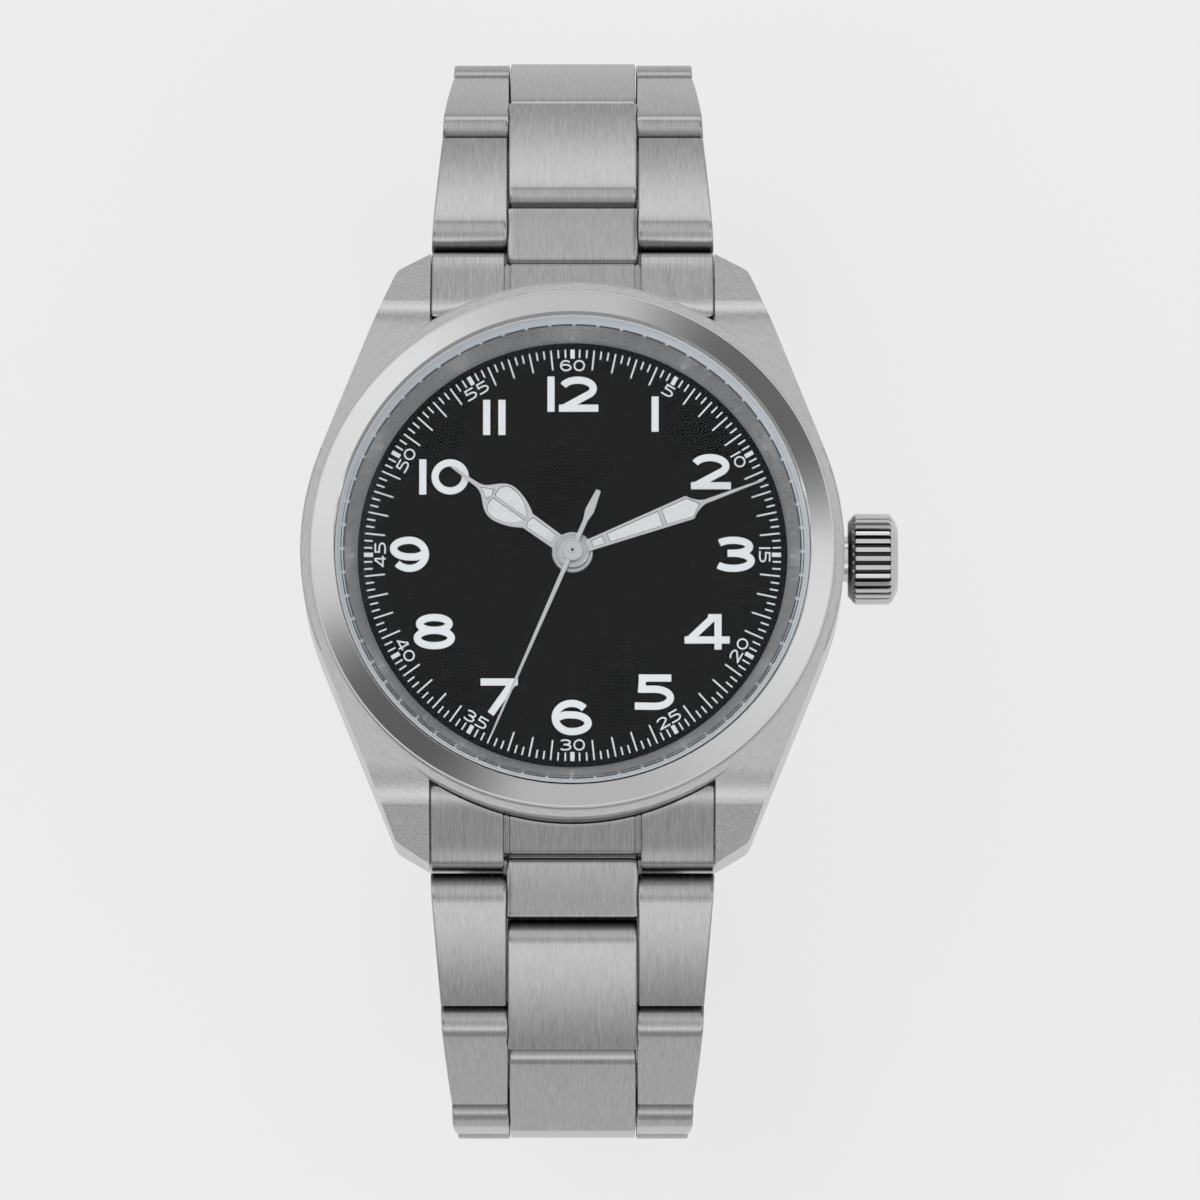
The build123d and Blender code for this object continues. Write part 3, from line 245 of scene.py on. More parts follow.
finishes = [
    ("case", "brushedCase", roundSkin, (0.47, 0.47, 0.473), 0.24, (14000, 150, 14000), 0.8, 0.5),
    # the links' last number is the depth of the painted seam shade
    ("link", "brushedLinks", straightSkin, (0.405, 0.405, 0.407), 0.24, (15000, 850, 850), 0.85, 0.5, 0.0, 0.6),
    # the two end links are one steel as lit and shaded copies: painted light on the one at 12, painted shade on the
    # one at 6
    ("endUpper", "brushedUpperEnd", straightSkin, (0.425, 0.425, 0.427), 0.23, (14000, 620, 620), 0.85, 0.5, 3.0),
    ("endLower", "brushedLowerEnd", straightSkin, (0.365, 0.365, 0.367), 0.23, (14000, 620, 620), 0.85, 0.5, 7.0),
    ("polished", "polishedSteel", softSkin, (0.56, 0.56, 0.565), 0.09, 1.0, 900, 0.04, 0.01),
    ("hand", "satinHands", softSkin, (0.44, 0.44, 0.44), 0.32, 1.0, 22000, 0.5, 0.3),
    ("plate", "movementPlate", roundSkin, (0.6, 0.59, 0.56), 0.35, (9000, 40, 9000), 0.25, 0.1),
    ("brass", "gildedWheels", softSkin, (0.7, 0.54, 0.28), 0.3, 1.0, 9000, 0.2, 0.1),
    ("rotor", "rotorSteel", roundSkin, (0.5, 0.5, 0.5), 0.3, (12000, 30, 12000), 0.3, 0.15),
    ("back", "brushedBack", roundSkin, (0.47, 0.47, 0.473), 0.3, (22000, 20, 22000), 0.35, 0.2),
    ("rubber", "gasketRubber", softSkin, (0.02, 0.02, 0.02), 0.7, 0.0, 6000, 0.3, 0.2),
    ("plastic", "movementHolder", softSkin, (0.5, 0.52, 0.54), 0.5, 0.0, 5000, 0.1, 0.1),
    ("dial", "blackDial", softSkin, (0.0022, 0.0023, 0.0025), 0.9, 0.0, 9000, 0.3, 0.02, 0.0),
    ("print", "whitePrint", softSkin, (0.66, 0.685, 0.7), 0.6, 0.0, 9000, 0.12, 0.1, 0.1),
    ("lume", "handLume", softSkin, (0.55, 0.57, 0.565), 0.7, 0.0, 6000, 0.7, 0.5, 0.1),
    ("shade", "pivotShade", softSkin, (0.03, 0.03, 0.03), 0.4, 1.0, 9000, 0.2, 0.1),
    ("blade", "satinBlades", straightSkin, (0.52, 0.52, 0.53), 0.28, (12000, 500, 500), 0.25, 0.1, 5.0),
]
materials = {}
for finish, materialName, skinKind, *settings in finishes:
    mat, net = newMaterial(materialName)
    materials[finish] = finishMaterial(mat, skinKind(net, *settings))

# Chapter ring: brushed round, with a pale matt rim and fine dashes at its outer edge, a painted reflection of the
# minute track in the crystal's bevelled edge
chapterLook = {
    "skin": ((0.57, 0.575, 0.585), 0.36, (8000, 420, 3000), 0.9, 0.5, 0.7),
    "rim": (0.45, 0.485, 0.515), "reflectionRough": 0.35, "reflectionStart": 15.92 * mm,
    "dashes": 60, "dashWidth": 0.12 * mm, "dashGap": 0.12, "reflectedDashDepth": 0.9,
}


def chapterMaterial():
    look = chapterLook
    mat, net = newMaterial("brushedChapter")
    radius, turn, level = ringPlace(net)
    # painted reflection: a pale matt band past the rim's start, broken into dashes along its inner side
    onDash = net.math("LESS_THAN", radius, look["reflectionStart"] + look["dashWidth"])
    steps = net.times(net.math("ADD", turn, 1.0), look["dashes"])
    dash = net.times(onDash, net.math("GREATER_THAN", net.math("FRACT", steps), look["dashGap"]))
    color = net.vector("SCALE", look["rim"], net.without(net.times(dash, look["reflectedDashDepth"])))
    rim = net.add("BsdfPrincipled", Metallic=0.0, Roughness=look["reflectionRough"], Base_Color=color)
    inReflection = net.math("GREATER_THAN", radius, look["reflectionStart"])
    return finishMaterial(mat, net.mix(inReflection, roundSkin(net, *look["skin"]), rim))


materials["chapter"] = chapterMaterial()

# Crystal: coated glass that lets light through to the dial
crystalLook = {
    "color": (0.98, 0.99, 1.0, 1.0), "ior": 1.2, "specular": 0.03, "rough": 0.0,
    "bevel": 0.3 * mm, "rise": 0.7 * mm, "innerRise": 0.6 * mm, "slack": 0.005 * mm, "wall": 0.5 * mm,
    "steps": 18, "count": 144, "crease": 30,
}


def crystalMaterial():
    look = crystalLook
    mat, net = newMaterial("coatedCrystal")
    glass = net.add(
        "BsdfPrincipled", Metallic=0.0, Roughness=look["rough"], IOR=look["ior"], Base_Color=look["color"],
        Transmission_Weight=1.0, Specular_IOR_Level=look["specular"],
    )
    clear = net.add("BsdfTransparent")
    ray = net.add("LightPath")
    through = net.math("MAXIMUM", ray.outputs["Is Shadow Ray"], ray.outputs["Is Diffuse Ray"])
    return finishMaterial(mat, net.mix(through, glass, clear))


materials["crystal"] = crystalMaterial()

# nodes that aren't named here have the links' finish
finishNodes = {
    "case": "mid_case", "crystal": "crystal", "chapter": "chapter_ring", "dial": "dial", "rotor": "rotor",
    "back": "case_back", "rubber": "case_back_gasket", "plastic": "crystal_gasket movement_ring",
    "plate": "main_plate train_bridge balance_cock setting_lever", "hand": "hour_hand minute_hand seconds_hand",
    "brass": "mainspring_barrel balance_wheel hour_wheel centre_wheel seconds_wheel",
    "polished": "bezel crown_tube crown winding_stem lug_spring_bars clasp_spring_bar clasp_button_left "
    "clasp_button_right",
    "endUpper": "end_link_12", "endLower": "end_link_6", "blade": "clasp_outer_blade clasp_inner_blade",
}
nodeFinish = {nodeName: finish for finish, names in finishNodes.items() for nodeName in names.split()}
for nodeName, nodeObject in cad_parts.items():
    nodeObject.data.materials.clear()
    nodeObject.data.materials.append(materials[nodeFinish.get(nodeName, "link")])
print("materials set on", len(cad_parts), "nodes")


class Shape:
    # points and faces of one piece, and each point's share of the painted shade at a seam, where it rolls in

    def __init__(self):
        self.verts, self.faces, self.rolled = [], [], []

    def join(self, start, count, rows, closed=False, ends=0):
        # quads between rings of points, and faces over both ends or the last one
        for row in range(rows if closed else rows - 1):
            a, b = start + row * count, start + (row + 1) % rows * count
            for step in range(count):
                n = (step + 1) % count
                self.faces.append((a + step, a + n, b + n, b + step))
        if ends == 2:
            self.faces.append(tuple(reversed(range(start, start + count))))
        if ends:
            self.faces.append(tuple(range(start + (rows - 1) * count, start + rows * count)))

    def turn(self, outline, count, closed=True, ends=0):
        # an outline of radius and height, turned round the dial's axis
        start = len(self.verts)
        for radius, height in outline:
            for step in range(count):
                angle = 2 * pi * step / count
                self.verts.append((radius * cos(angle), radius * sin(angle), height))
        self.join(start, count, len(outline), closed, ends)

    def piece(self, name, material, body, crease=None):
        data = bpy.data.meshes.new(name)
        data.from_pydata([Vector(v) for v in self.verts], [], self.faces)
        data.materials.append(material)
        if self.rolled:
            data.attributes.new("paintedSeamShade", "FLOAT", "POINT").data.foreach_set("value", self.rolled)
        editable = bmesh.new()
        editable.from_mesh(data)
        bmesh.ops.recalc_face_normals(editable, faces=editable.faces)
        editable.to_mesh(data)
        editable.free()
        data.update()
        if crease is not None:
            data.shade_smooth()
            data.set_sharp_from_angle(angle=radians(crease))
        made = bpy.data.objects.new(name, data)
        bpy.context.collection.objects.link(made)
        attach(made, body)
        return made


# Bezel: a smooth polished ring that rolls over at its outer edge
bezelLook = {
    "bore": 16.62 * mm, "outer": 18.35 * mm, "collar": 17.4 * mm, "rim": 9.55 * mm, "foot": 8.55 * mm,
    "top": 10.32 * mm, "crest": 10.42 * mm, "fall": 0.385 * mm, "edge": 0.16 * mm, "bevel": 0.06 * mm,
    "peakShare": 0.04, "slopeSteps": 16, "lean": 15, "rollEnd": 6, "rollSteps": 7, "rollAcross": 1.55, "rollDown": 1.2,
    "count": 288, "crease": 32,
}


def buildBezel():
    look = bezelLook
    outline = [(look["bore"], look["foot"]), (look["bore"], look["top"] - look["bevel"])]
    inner, shoulder, edge = look["bore"] + look["bevel"], look["outer"] - look["edge"], look["edge"]
    peak = look["peakShare"]
    for step in range(look["slopeSteps"] + 1):
        share = step / look["slopeSteps"]
        if share < peak:
            height = look["crest"] - (look["crest"] - look["top"]) * ((peak - share) / peak) ** 2
        else:
            height = look["crest"] - look["fall"] * ((share - peak) / (1 - peak))
        outline.append((inner + share * (shoulder - inner), height))
    roll = outline[-1][1]
    first, last = 90 - look["lean"], look["rollEnd"]
    for step in range(1, look["rollSteps"] + 1):
        angle = radians(first - (first - last) * step / look["rollSteps"])
        across = edge * (cos(angle) - cos(radians(first))) * look["rollAcross"]
        down = edge * (sin(radians(first)) - sin(angle)) * look["rollDown"]
        outline.append((shoulder + across, roll - down))
    outline += [(look["outer"], look["rim"]), (look["collar"], look["rim"]), (look["collar"], look["foot"])]
    shape = Shape()
    shape.turn(outline, look["count"])
    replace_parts(shape.piece("bezelRing", materials["polished"], "case", look["crease"]), "bezel")


# Crystal: a smooth dome over a shallow hollow, with a bevelled edge
def buildCrystal():
    look, steps, count = crystalLook, crystalLook["steps"], crystalLook["count"]
    low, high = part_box("crystal")
    radius = high.x - look["slack"]
    floor, top = low.z, high.z - look["rise"]
    inner, hollow = radius - look["bevel"], radius - look["wall"]
    shares = [step / steps for step in range(1, steps + 1)]
    outline = [(hollow * share, floor + look["innerRise"] * (1 - share * share)) for share in shares]
    outline += [(radius, floor), (radius, top - look["bevel"])]
    outline += [(inner * share, top + look["rise"] * (1 - share * share)) for share in reversed(shares)]
    shape = Shape()
    shape.turn(outline, count, closed=False)
    last, tip, dip = (len(outline) - 1) * count, len(outline) * count, len(outline) * count + 1
    shape.verts += [(0, 0, top + look["rise"]), (0, 0, floor + look["innerRise"])]
    for step in range(count):
        n = (step + 1) % count
        shape.faces += [(last + step, last + n, tip), (n, step, dip)]
    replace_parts(shape.piece("domedCrystal", materials["crystal"], "case", look["crease"]), "crystal")


buildBezel()
buildCrystal()
print("bezel and crystal built")

# Crown: polished teeth that run out into the chamfers, with painted shade in the flutes and a painted darker inner
# chamfer.
# stations: distance along the crown and radius, in mm; tooth: share of a tooth's pitch, and 1 in the flute
crownLook = {
    "start": 19.32 * mm, "level": 5.2 * mm, "radius": 3.2 * mm, "teeth": 32, "depth": 0.24 * mm,
    "stations": [
        (1.4, 1.75), (0, 1.75), (0, 2.6), (0.03, 2.65), (0.3025, 2.9525), (0.44, 3.09), (0.55, 3.2), (1.75, 3.2),
        (2.873, 3.2), (3.0248, 3.04), (3.17, 2.87), (3.302, 2.7), (3.44, 2.42), (3.5, 2.32), (3.5, 2.2),
        (3.41, 2.14), (3.43, 1.416), (3.46, 0.59),
    ],
    "tooth": [(0.0, 0), (0.25, 0), (0.5, 0), (0.6, 1), (0.9, 1)],
    # shade is the colour of the painted shade in the flutes
    "metal": ((0.56, 0.56, 0.565), 0.1, 1.0, 900, 0.05, 0.01), "shade": (0.03, 0.03, 0.032, 1.0),
    "shadeStart": 0.05 * mm, "fluteMiddle": 21.04 * mm, "fluteHalf": 1.28 * mm,
    # painted shade on the inner chamfer: the tone it starts at, and where it fades out to full
    "innerPaintedShade": 0.4, "innerStart": 0.42 * mm, "innerEnd": 0.56 * mm, "crease": 28,
}


def crownMaterial():
    look = crownLook
    mat, net = newMaterial("polishedCrown")
    skin = softSkin(net, *look["metal"])
    baseColor = skin.inputs["Base Color"]
    split = net.add("SeparateXYZ", Vector=net.add("TexCoord").outputs["Object"])
    along, height = split.outputs["X"], net.math("SUBTRACT", split.outputs["Z"], look["level"])
    away = net.add("CombineXYZ", X=split.outputs["Y"], Y=height)
    distance = net.vector("LENGTH", away)
    # painted shade: the colour fades to the shade colour deep in the flutes
    deep = net.range(distance, look["radius"] - look["shadeStart"], look["radius"] - look["depth"])
    middle = net.math("ABSOLUTE", net.math("SUBTRACT", along, look["fluteMiddle"]))
    within = net.math("LESS_THAN", middle, look["fluteHalf"])
    mixed = net.add("Mix")
    mixed.data_type = "RGBA"
    paintedFluteShade = net.times(deep, within)
    for socket, value in ((0, paintedFluteShade), (6, baseColor.links[0].from_socket), (7, look["shade"])):
        net.put(mixed.inputs[socket], value)
    # painted shade: the inner chamfer darker towards the case
    start, end = look["start"] + look["innerStart"], look["start"] + look["innerEnd"]
    slope = net.range(along, start, end, look["innerPaintedShade"])
    net.put(baseColor, net.vector("SCALE", mixed.outputs[2], slope))
    return finishMaterial(mat, skin)


def buildCrown():
    look, shape = crownLook, Shape()
    count, rows = look["teeth"] * len(look["tooth"]), len(look["stations"])
    for along, base in look["stations"]:
        for number in range(look["teeth"]):
            for share, cut in look["tooth"]:
                turn = 2 * pi * (number + share) / look["teeth"]
                reach = min(base * mm, look["radius"] - look["depth"] * cut)
                shape.verts.append((look["start"] + along * mm, reach * sin(turn), look["level"] + reach * cos(turn)))
    shape.join(0, count, rows, ends=2)
    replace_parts(shape.piece("flutedCrown", crownMaterial(), "crown", look["crease"]), "crown")


buildCrown()
print("crown built")

# Bracelet in mm and degrees, sized as in the frame, with rolled ends, arched tops and broken edges
linkLook = {
    "firstPin": (23.65, 3.5), "pitch": 9.5, "half": 1.6, "nearRound": 1.4, "near": 1.7, "end": 7.8,
    "angles": (30, 59, 92, 115, 139, 161), "taper": (0, 0.36, 0.72, 0.88, 0.96, 1, 1),
    "width": 19.9, "narrowing": 3.9, "centre": 9.2, "centreTaper": 0.4, "gap": 0.1,
    "edge": 0.13, "archNear": 4, "archFar": 7, "pinRadius": 0.5, "pinRings": [(0.0, 1.0), (0.04, 1.0), (0.07, 0.86)],
    "turnedLink": 2, "turnedCorner": 0.55,  # the centre piece at the bracelet's bend has a softer far corner
    "middleShade": 34, "pairShade": 36, "foldShade": 0.6, "crease": 40, "pinSunk": 0.02, "pinCount": 20,
}
# where the painted seam shade begins and fades out, as angles round a rolled end
seamLook = {"ramp": 34, "underEnd": 178, "underRamp": 40}


def arcPoints(cx, cy, rx, ry, start, end, count):
    angles = [radians(start + (end - start) * step / count) for step in range(count + 1)]
    return [(cx + rx * cos(angle), cy + ry * sin(angle)) for angle in angles]


def roundCorner(center, radius, start, end, count):
    return arcPoints(*center, radius, radius, start, end, count)


def addTop(outline, look, end, corner, cornerStart, cornerCount, count=14):
    # a long shallow arc that goes on from the near round, leans by archFar degrees and ends in a corner
    near, far, (startX, startY) = look["archNear"], look["archFar"], outline[-1]
    sinNear, cosNear = sin(radians(near)), cos(radians(near))
    reach = (end - corner - startX) / (sinNear + sin(radians(far)))
    for step in range(1, count + 1):
        lean = radians(near - (near + far) * step / count)
        outline.append((startX + reach * (sinNear - sin(lean)), startY + reach * (cos(lean) - cosNear)))
    outline += roundCorner((end - corner, outline[-1][1] - corner), corner, cornerStart, 0, cornerCount)


def outerProfile():
    look = linkLook
    half, end, edge = look["half"], look["end"], look["edge"]
    outline = roundCorner((0, 0), half, 270, 90 + look["archNear"], 20)
    addTop(outline, look, end, edge, 75, 4)
    outline += [(end, 0.0), (end, -half + edge)]
    outline += roundCorner((end - edge, -half + edge), edge, -20, -90, 3)
    outline += [(end * 0.5, -half)]
    return outline


def centreProfile(corner):
    look = linkLook
    half, near, edge, turn = look["half"], look["near"], look["edge"], look["nearRound"]
    end = look["pitch"] + half
    outline = [(near, -half + edge), (near, half - turn - 0.2)]
    outline += roundCorner((near + turn, half - turn), turn, 180, 90 + look["archNear"], 12)
    addTop(outline, look, end, corner, 78, 6)
    outline += [(end, 0.3)]
    outline += roundCorner((look["pitch"], 0), half, 0, -90, 10)
    outline += [(look["pitch"] * 0.5, -half), (near + edge, -half)]
    return outline


def heading(start, end):
    return Vector((end[0] - start[0], end[1] - start[1])).normalized()


def insetOutline(outline, amount, sharpest=0.5):
    # each point moves in along its mean normal; the outline runs with its solid on the right
    made = []
    for index, point in enumerate(outline):
        first, second = heading(outline[index - 1], point), heading(point, outline[(index + 1) % len(outline)])
        normal = Vector((first.y + second.y, -first.x - second.x)).normalized()
        reach = amount / max(normal.dot(Vector((second.y, -second.x))), sharpest)
        made.append((point[0] + normal.x * reach, point[1] + normal.y * reach))
    return made


def clamped(value):
    return min(max(value, 0.0), 1.0)


def rolledShare(along, height, center, start):
    # painted seam shade: 1 where the near round has rolled in under the piece before it, from this angle in degrees,
    # else 0
    if along >= center[0]:
        return 0.0
    rolled = atan2(center[0] - along, height - center[1])
    share = clamped((rolled - radians(start)) / radians(seamLook["ramp"]))
    under = clamped((radians(seamLook["underEnd"]) - rolled) / radians(seamLook["underRamp"]))
    return share * share * (3 - 2 * share) * under


def roundedEdge(edge):
    # shift from the flank and inset of the outline, from the flank to the top
    return [(edge * (1 - sin(radians(angle))), edge * (1 - cos(radians(angle)))) for angle in (90, 60, 30, 0)]


def addLinkPrism(shape, outline, innerEdge, outerEdge, place, shade, edge=linkLook["edge"]):
    # a prism across X with rounded flanks; the edges give X at a distance along the link
    stations = roundedEdge(edge) + [(edge * 2.2, 0.0)]
    rows = [(1, shift, inset) for shift, inset in stations]
    rows += [(-1, shift, inset) for shift, inset in reversed(stations)]
    start, count = len(shape.verts), len(outline)
    for side, shift, inset in rows:
        for along, height in insetOutline(outline, inset):
            x = innerEdge(along) + shift if side > 0 else outerEdge(along) - shift
            shape.verts.append(place(x, along, height))
            shape.rolled.append(rolledShare(along, height, *shade))
    shape.join(start, count, len(rows), ends=2)


def addPinEnd(shape, x, reach, place):
    # the hinge pin's end, a low button on the flank
    start, count, rings = len(shape.verts), linkLook["pinCount"], linkLook["pinRings"]
    for out, scale in rings:
        radius = scale * linkLook["pinRadius"]
        for step in range(count):
            turn = 2 * pi * step / count
            shape.verts.append(place(x + reach * out, radius * cos(turn), radius * sin(turn)))
            shape.rolled.append(0.0)
    shape.join(start, count, len(rings), ends=1)


def linkPlace(pin, angle, below):
    # from the link's own frame (across, along, outward) in mm to the watch's, in metres
    cosTurn, sinTurn, turnOver = cos(radians(angle)), sin(radians(angle)), -1 if below else 1

    def place(x, u, v):
        y = pin[0] + u * cosTurn + v * sinTurn
        z = pin[1] - u * sinTurn + v * cosTurn
        return (x * mm, turnOver * y * mm, z * mm)

    return place


def buildLinks():
    look = linkLook
    widths = [look["width"] - look["narrowing"] * share for share in look["taper"]]
    centres = [look["centre"] - look["centreTaper"] * share for share in look["taper"]]
    outerLine = outerProfile()
    middleShade = ((look["near"] + look["nearRound"], look["half"] - look["nearRound"]), look["middleShade"])
    for below, sideName in ((False, "12"), (True, "6")):
        pin, before = look["firstPin"], 0
        for number, angle in enumerate(look["angles"], start=1):
            place = linkPlace(pin, angle, below)
            near, far, row = widths[number - 1] / 2, widths[number] / 2, centres[number] / 2
            slope = (far - near) / (look["end"] + look["half"])

            def flank(u):
                return near + slope * (u + look["half"])

            body = f"link_{sideName}_{number}"
            pairShade = ((0, 0), look["pairShade"] + look["foldShade"] * (angle - before))
            pair = Shape()
            addLinkPrism(pair, outerLine, lambda u: row + look["gap"], flank, place, pairShade)
            addLinkPrism(pair, outerLine, lambda u: -flank(u), lambda u: -row - look["gap"], place, pairShade)
            for reach in (1, -1):
                addPinEnd(pair, reach * (flank(0.0) - look["pinSunk"]), reach, place)
            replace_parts(pair.piece(f"{body}_rolledPair", materials["link"], body, look["crease"]), f"{body}_outers")
            middle = Shape()
            centreLine = centreProfile(look["turnedCorner"] if number == look["turnedLink"] else look["edge"])
            addLinkPrism(middle, centreLine, lambda u: -row, lambda u: row, place, middleShade)
            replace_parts(middle.piece(f"{body}_archedCentre", materials["link"], body, look["crease"]), f"{body}_centre")
            step = radians(angle)
            pin, before = (pin[0] + look["pitch"] * cos(step), pin[1] - look["pitch"] * sin(step)), angle


buildLinks()
print("bracelet links built")

# End links, in mm and degrees: three brushed fields between fine slits, with a rolled lip towards the bracelet
endLook = {
    "half": 9.95, "bore": 19.1, "corner": 0.75, "edge": 0.12, "soft": 0.08, "crease": 40, "columnWidth": 0.3,
    "fields": [
        ("side", -9.95, -4.8), ("middle", -4.68, -4.52), ("middle", -4.4, 4.4), ("middle", 4.52, 4.68),
        ("side", 4.8, 9.95), ("slits", -4.9, 4.9),
    ],
    "side": {"reach": 21.95, "lip": 0.95, "floor": 1.6, "sunk": 0.0},
    "middle": {"reach": 21.0, "lip": 0.45, "floor": 4.7, "sunk": 0.0},
    "slits": {"reach": 20.97, "lip": 0.45, "floor": 4.75, "sunk": 0.3},
    "slopeStart": 15.0, "slopeRadius": 5.0, "slopeAngle": 35, "crest": 9.15, "flareStart": 20.55, "flare": 0.075,
    "centrePiece": {
        "near": 21.1, "half": 4.6, "tongueStart": 19.4, "tongueLow": 2.25, "tongueHigh": 4.55, "top": 5.1,
        "archNear": -2, "archFar": 16, "round": 0.5, "edge": 0.2,
    },
    "unshaded": ((0, 0), 360), "topSteps": 10, "lipSteps": 8, "shoulder": 0.3,
}


def endTop(y):
    # crest, straight fall, and a slight flare before the lip
    look = endLook
    sinFall, cosFall = sin(radians(look["slopeAngle"])), cos(radians(look["slopeAngle"]))
    bend = look["slopeStart"] + look["slopeRadius"] * sinFall
    if y < bend:
        return look["crest"] - look["slopeRadius"] + (look["slopeRadius"] ** 2 - (y - look["slopeStart"]) ** 2) ** 0.5
    flare = look["flare"] * max(y - look["flareStart"], 0) ** 2
    return look["crest"] - look["slopeRadius"] * (1 - cosFall) - (y - bend) * sinFall / cosFall + flare


def endOutline(x, inset, field):
    # the end link's outline (distance from the dial, height) at a place across it
    look = endLook
    corner, soft, lip, drop = look["corner"], look["soft"], field["lip"], inset + field["sunk"]
    near = (look["bore"] ** 2 - x * x) ** 0.5 + inset
    over = max(abs(x) - (look["half"] - corner), 0.0)
    near += corner - (corner ** 2 - min(over, corner) ** 2) ** 0.5
    far = field["reach"] - inset
    outline = [(near, field["floor"] + inset), (near, endTop(near) - soft - drop)]
    outline.append((near + look["shoulder"] * soft, endTop(near) - look["shoulder"] * soft - drop))
    middle, span = far - lip * 0.5, 0.02
    tilt = atan2(endTop(middle - span) - endTop(middle), span)
    runEnd = far - lip * (1 - sin(tilt))
    center = (far - lip, endTop(runEnd) - lip * cos(tilt) - drop)
    for step in range(look["topSteps"] + 1):
        y = near + soft + (runEnd - near - soft) * step / look["topSteps"]
        outline.append((y, endTop(y) - drop))
    for step in range(1, look["lipSteps"] + 1):
        angle = (pi / 2 - tilt) * (1 - step / look["lipSteps"])
        outline.append((center[0] + lip * cos(angle), center[1] + lip * sin(angle)))
    outline.append((far, field["floor"] + inset))
    return outline


def addEndField(shape, left, right, field, place):
    edge = min(endLook["edge"], (right - left) / 4)
    stations = roundedEdge(edge)
    columns = [(left + shift, inset) for shift, inset in stations]
    inner = max(int((right - left) / endLook["columnWidth"]), 1)
    for step in range(inner + 1):
        columns.append((left + 1.6 * edge + (right - left - 3.2 * edge) * step / inner, 0.0))
    columns += [(right - shift, inset) for shift, inset in reversed(stations)]
    start = len(shape.verts)
    for x, inset in columns:
        ring = endOutline(x, inset, field)
        shape.verts += [place(x, y, z) for y, z in ring]
    shape.join(start, len(ring), len(columns), ends=2)


def tongueOutline():
    part, (pinY, pinZ) = endLook["centrePiece"], linkLook["firstPin"]
    half, turn = linkLook["half"], part["round"]
    outline = [(part["near"], part["tongueLow"]), (part["tongueStart"], part["tongueLow"])]
    outline += [(part["tongueStart"], part["tongueHigh"]), (part["near"], part["tongueHigh"])]
    outline += roundCorner((part["near"] + turn, part["top"] - turn), turn, 170, 90 + part["archNear"], 8)
    addTop(outline, part, pinY + half, linkLook["edge"], 75, 4, 8)
    outline += roundCorner((pinY, pinZ), half, 0, -90, 10)
    return outline


def buildEndLinks():
    look, part = endLook, endLook["centrePiece"]
    for below, sideName, finish in ((False, "12", "endUpper"), (True, "6", "endLower")):
        place = linkPlace((0, 0), 0, below)
        fields = Shape()
        for kind, left, right in look["fields"]:
            addEndField(fields, left, right, look[kind], place)
        piece = fields.piece(f"end_link_{sideName}_fields", materials[finish], "case", look["crease"])
        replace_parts(piece, f"end_link_{sideName}")
        tongue = Shape()
        edges = (lambda u: -part["half"], lambda u: part["half"])
        addLinkPrism(tongue, tongueOutline(), *edges, place, look["unshaded"], part["edge"])
        piece = tongue.piece(f"end_link_{sideName}_tongue", materials["link"], "case", look["crease"])
        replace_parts(piece, f"end_link_centre_{sideName}")


buildEndLinks()
print("end links built")


def strokePrism(shape, points, width, floor, top, sharpest=0.35):
    # a ribbon of this width with mitred corners and square ends, or closed where the last point meets the first
    closed = hypot(points[0][0] - points[-1][0], points[0][1] - points[-1][1]) < 1e-9
    if closed:
        points = points[:-1]
    count, start = len(points), len(shape.verts)
    for index, point in enumerate(points):
        dirs = []
        if index > 0 or closed:
            dirs.append(heading(points[index - 1], point))
        if index < count - 1 or closed:
            dirs.append(heading(point, points[(index + 1) % count]))
        along = (dirs[0] + dirs[-1]).normalized()
        across = Vector((-along.y, along.x))
        reach = width / 2 / max(across.dot(Vector((-dirs[0].y, dirs[0].x))), sharpest)
        for side in (1, -1):
            x, y = point[0] + side * across.x * reach, point[1] + side * across.y * reach
            shape.verts += [(x, y, floor), (x, y, top)]
    for index in range(count if closed else count - 1):
        a, b = start + 4 * index, start + 4 * ((index + 1) % count)
        shape.faces += [
            (a + 1, a + 3, b + 3, b + 1), (a, b, b + 2, a + 2), (a, a + 1, b + 1, b), (a + 2, b + 2, b + 3, a + 3),
        ]
    if not closed:
        last = start + 4 * (count - 1)
        shape.faces += [(start, start + 2, start + 3, start + 1), (last + 1, last + 3, last + 2, last)]


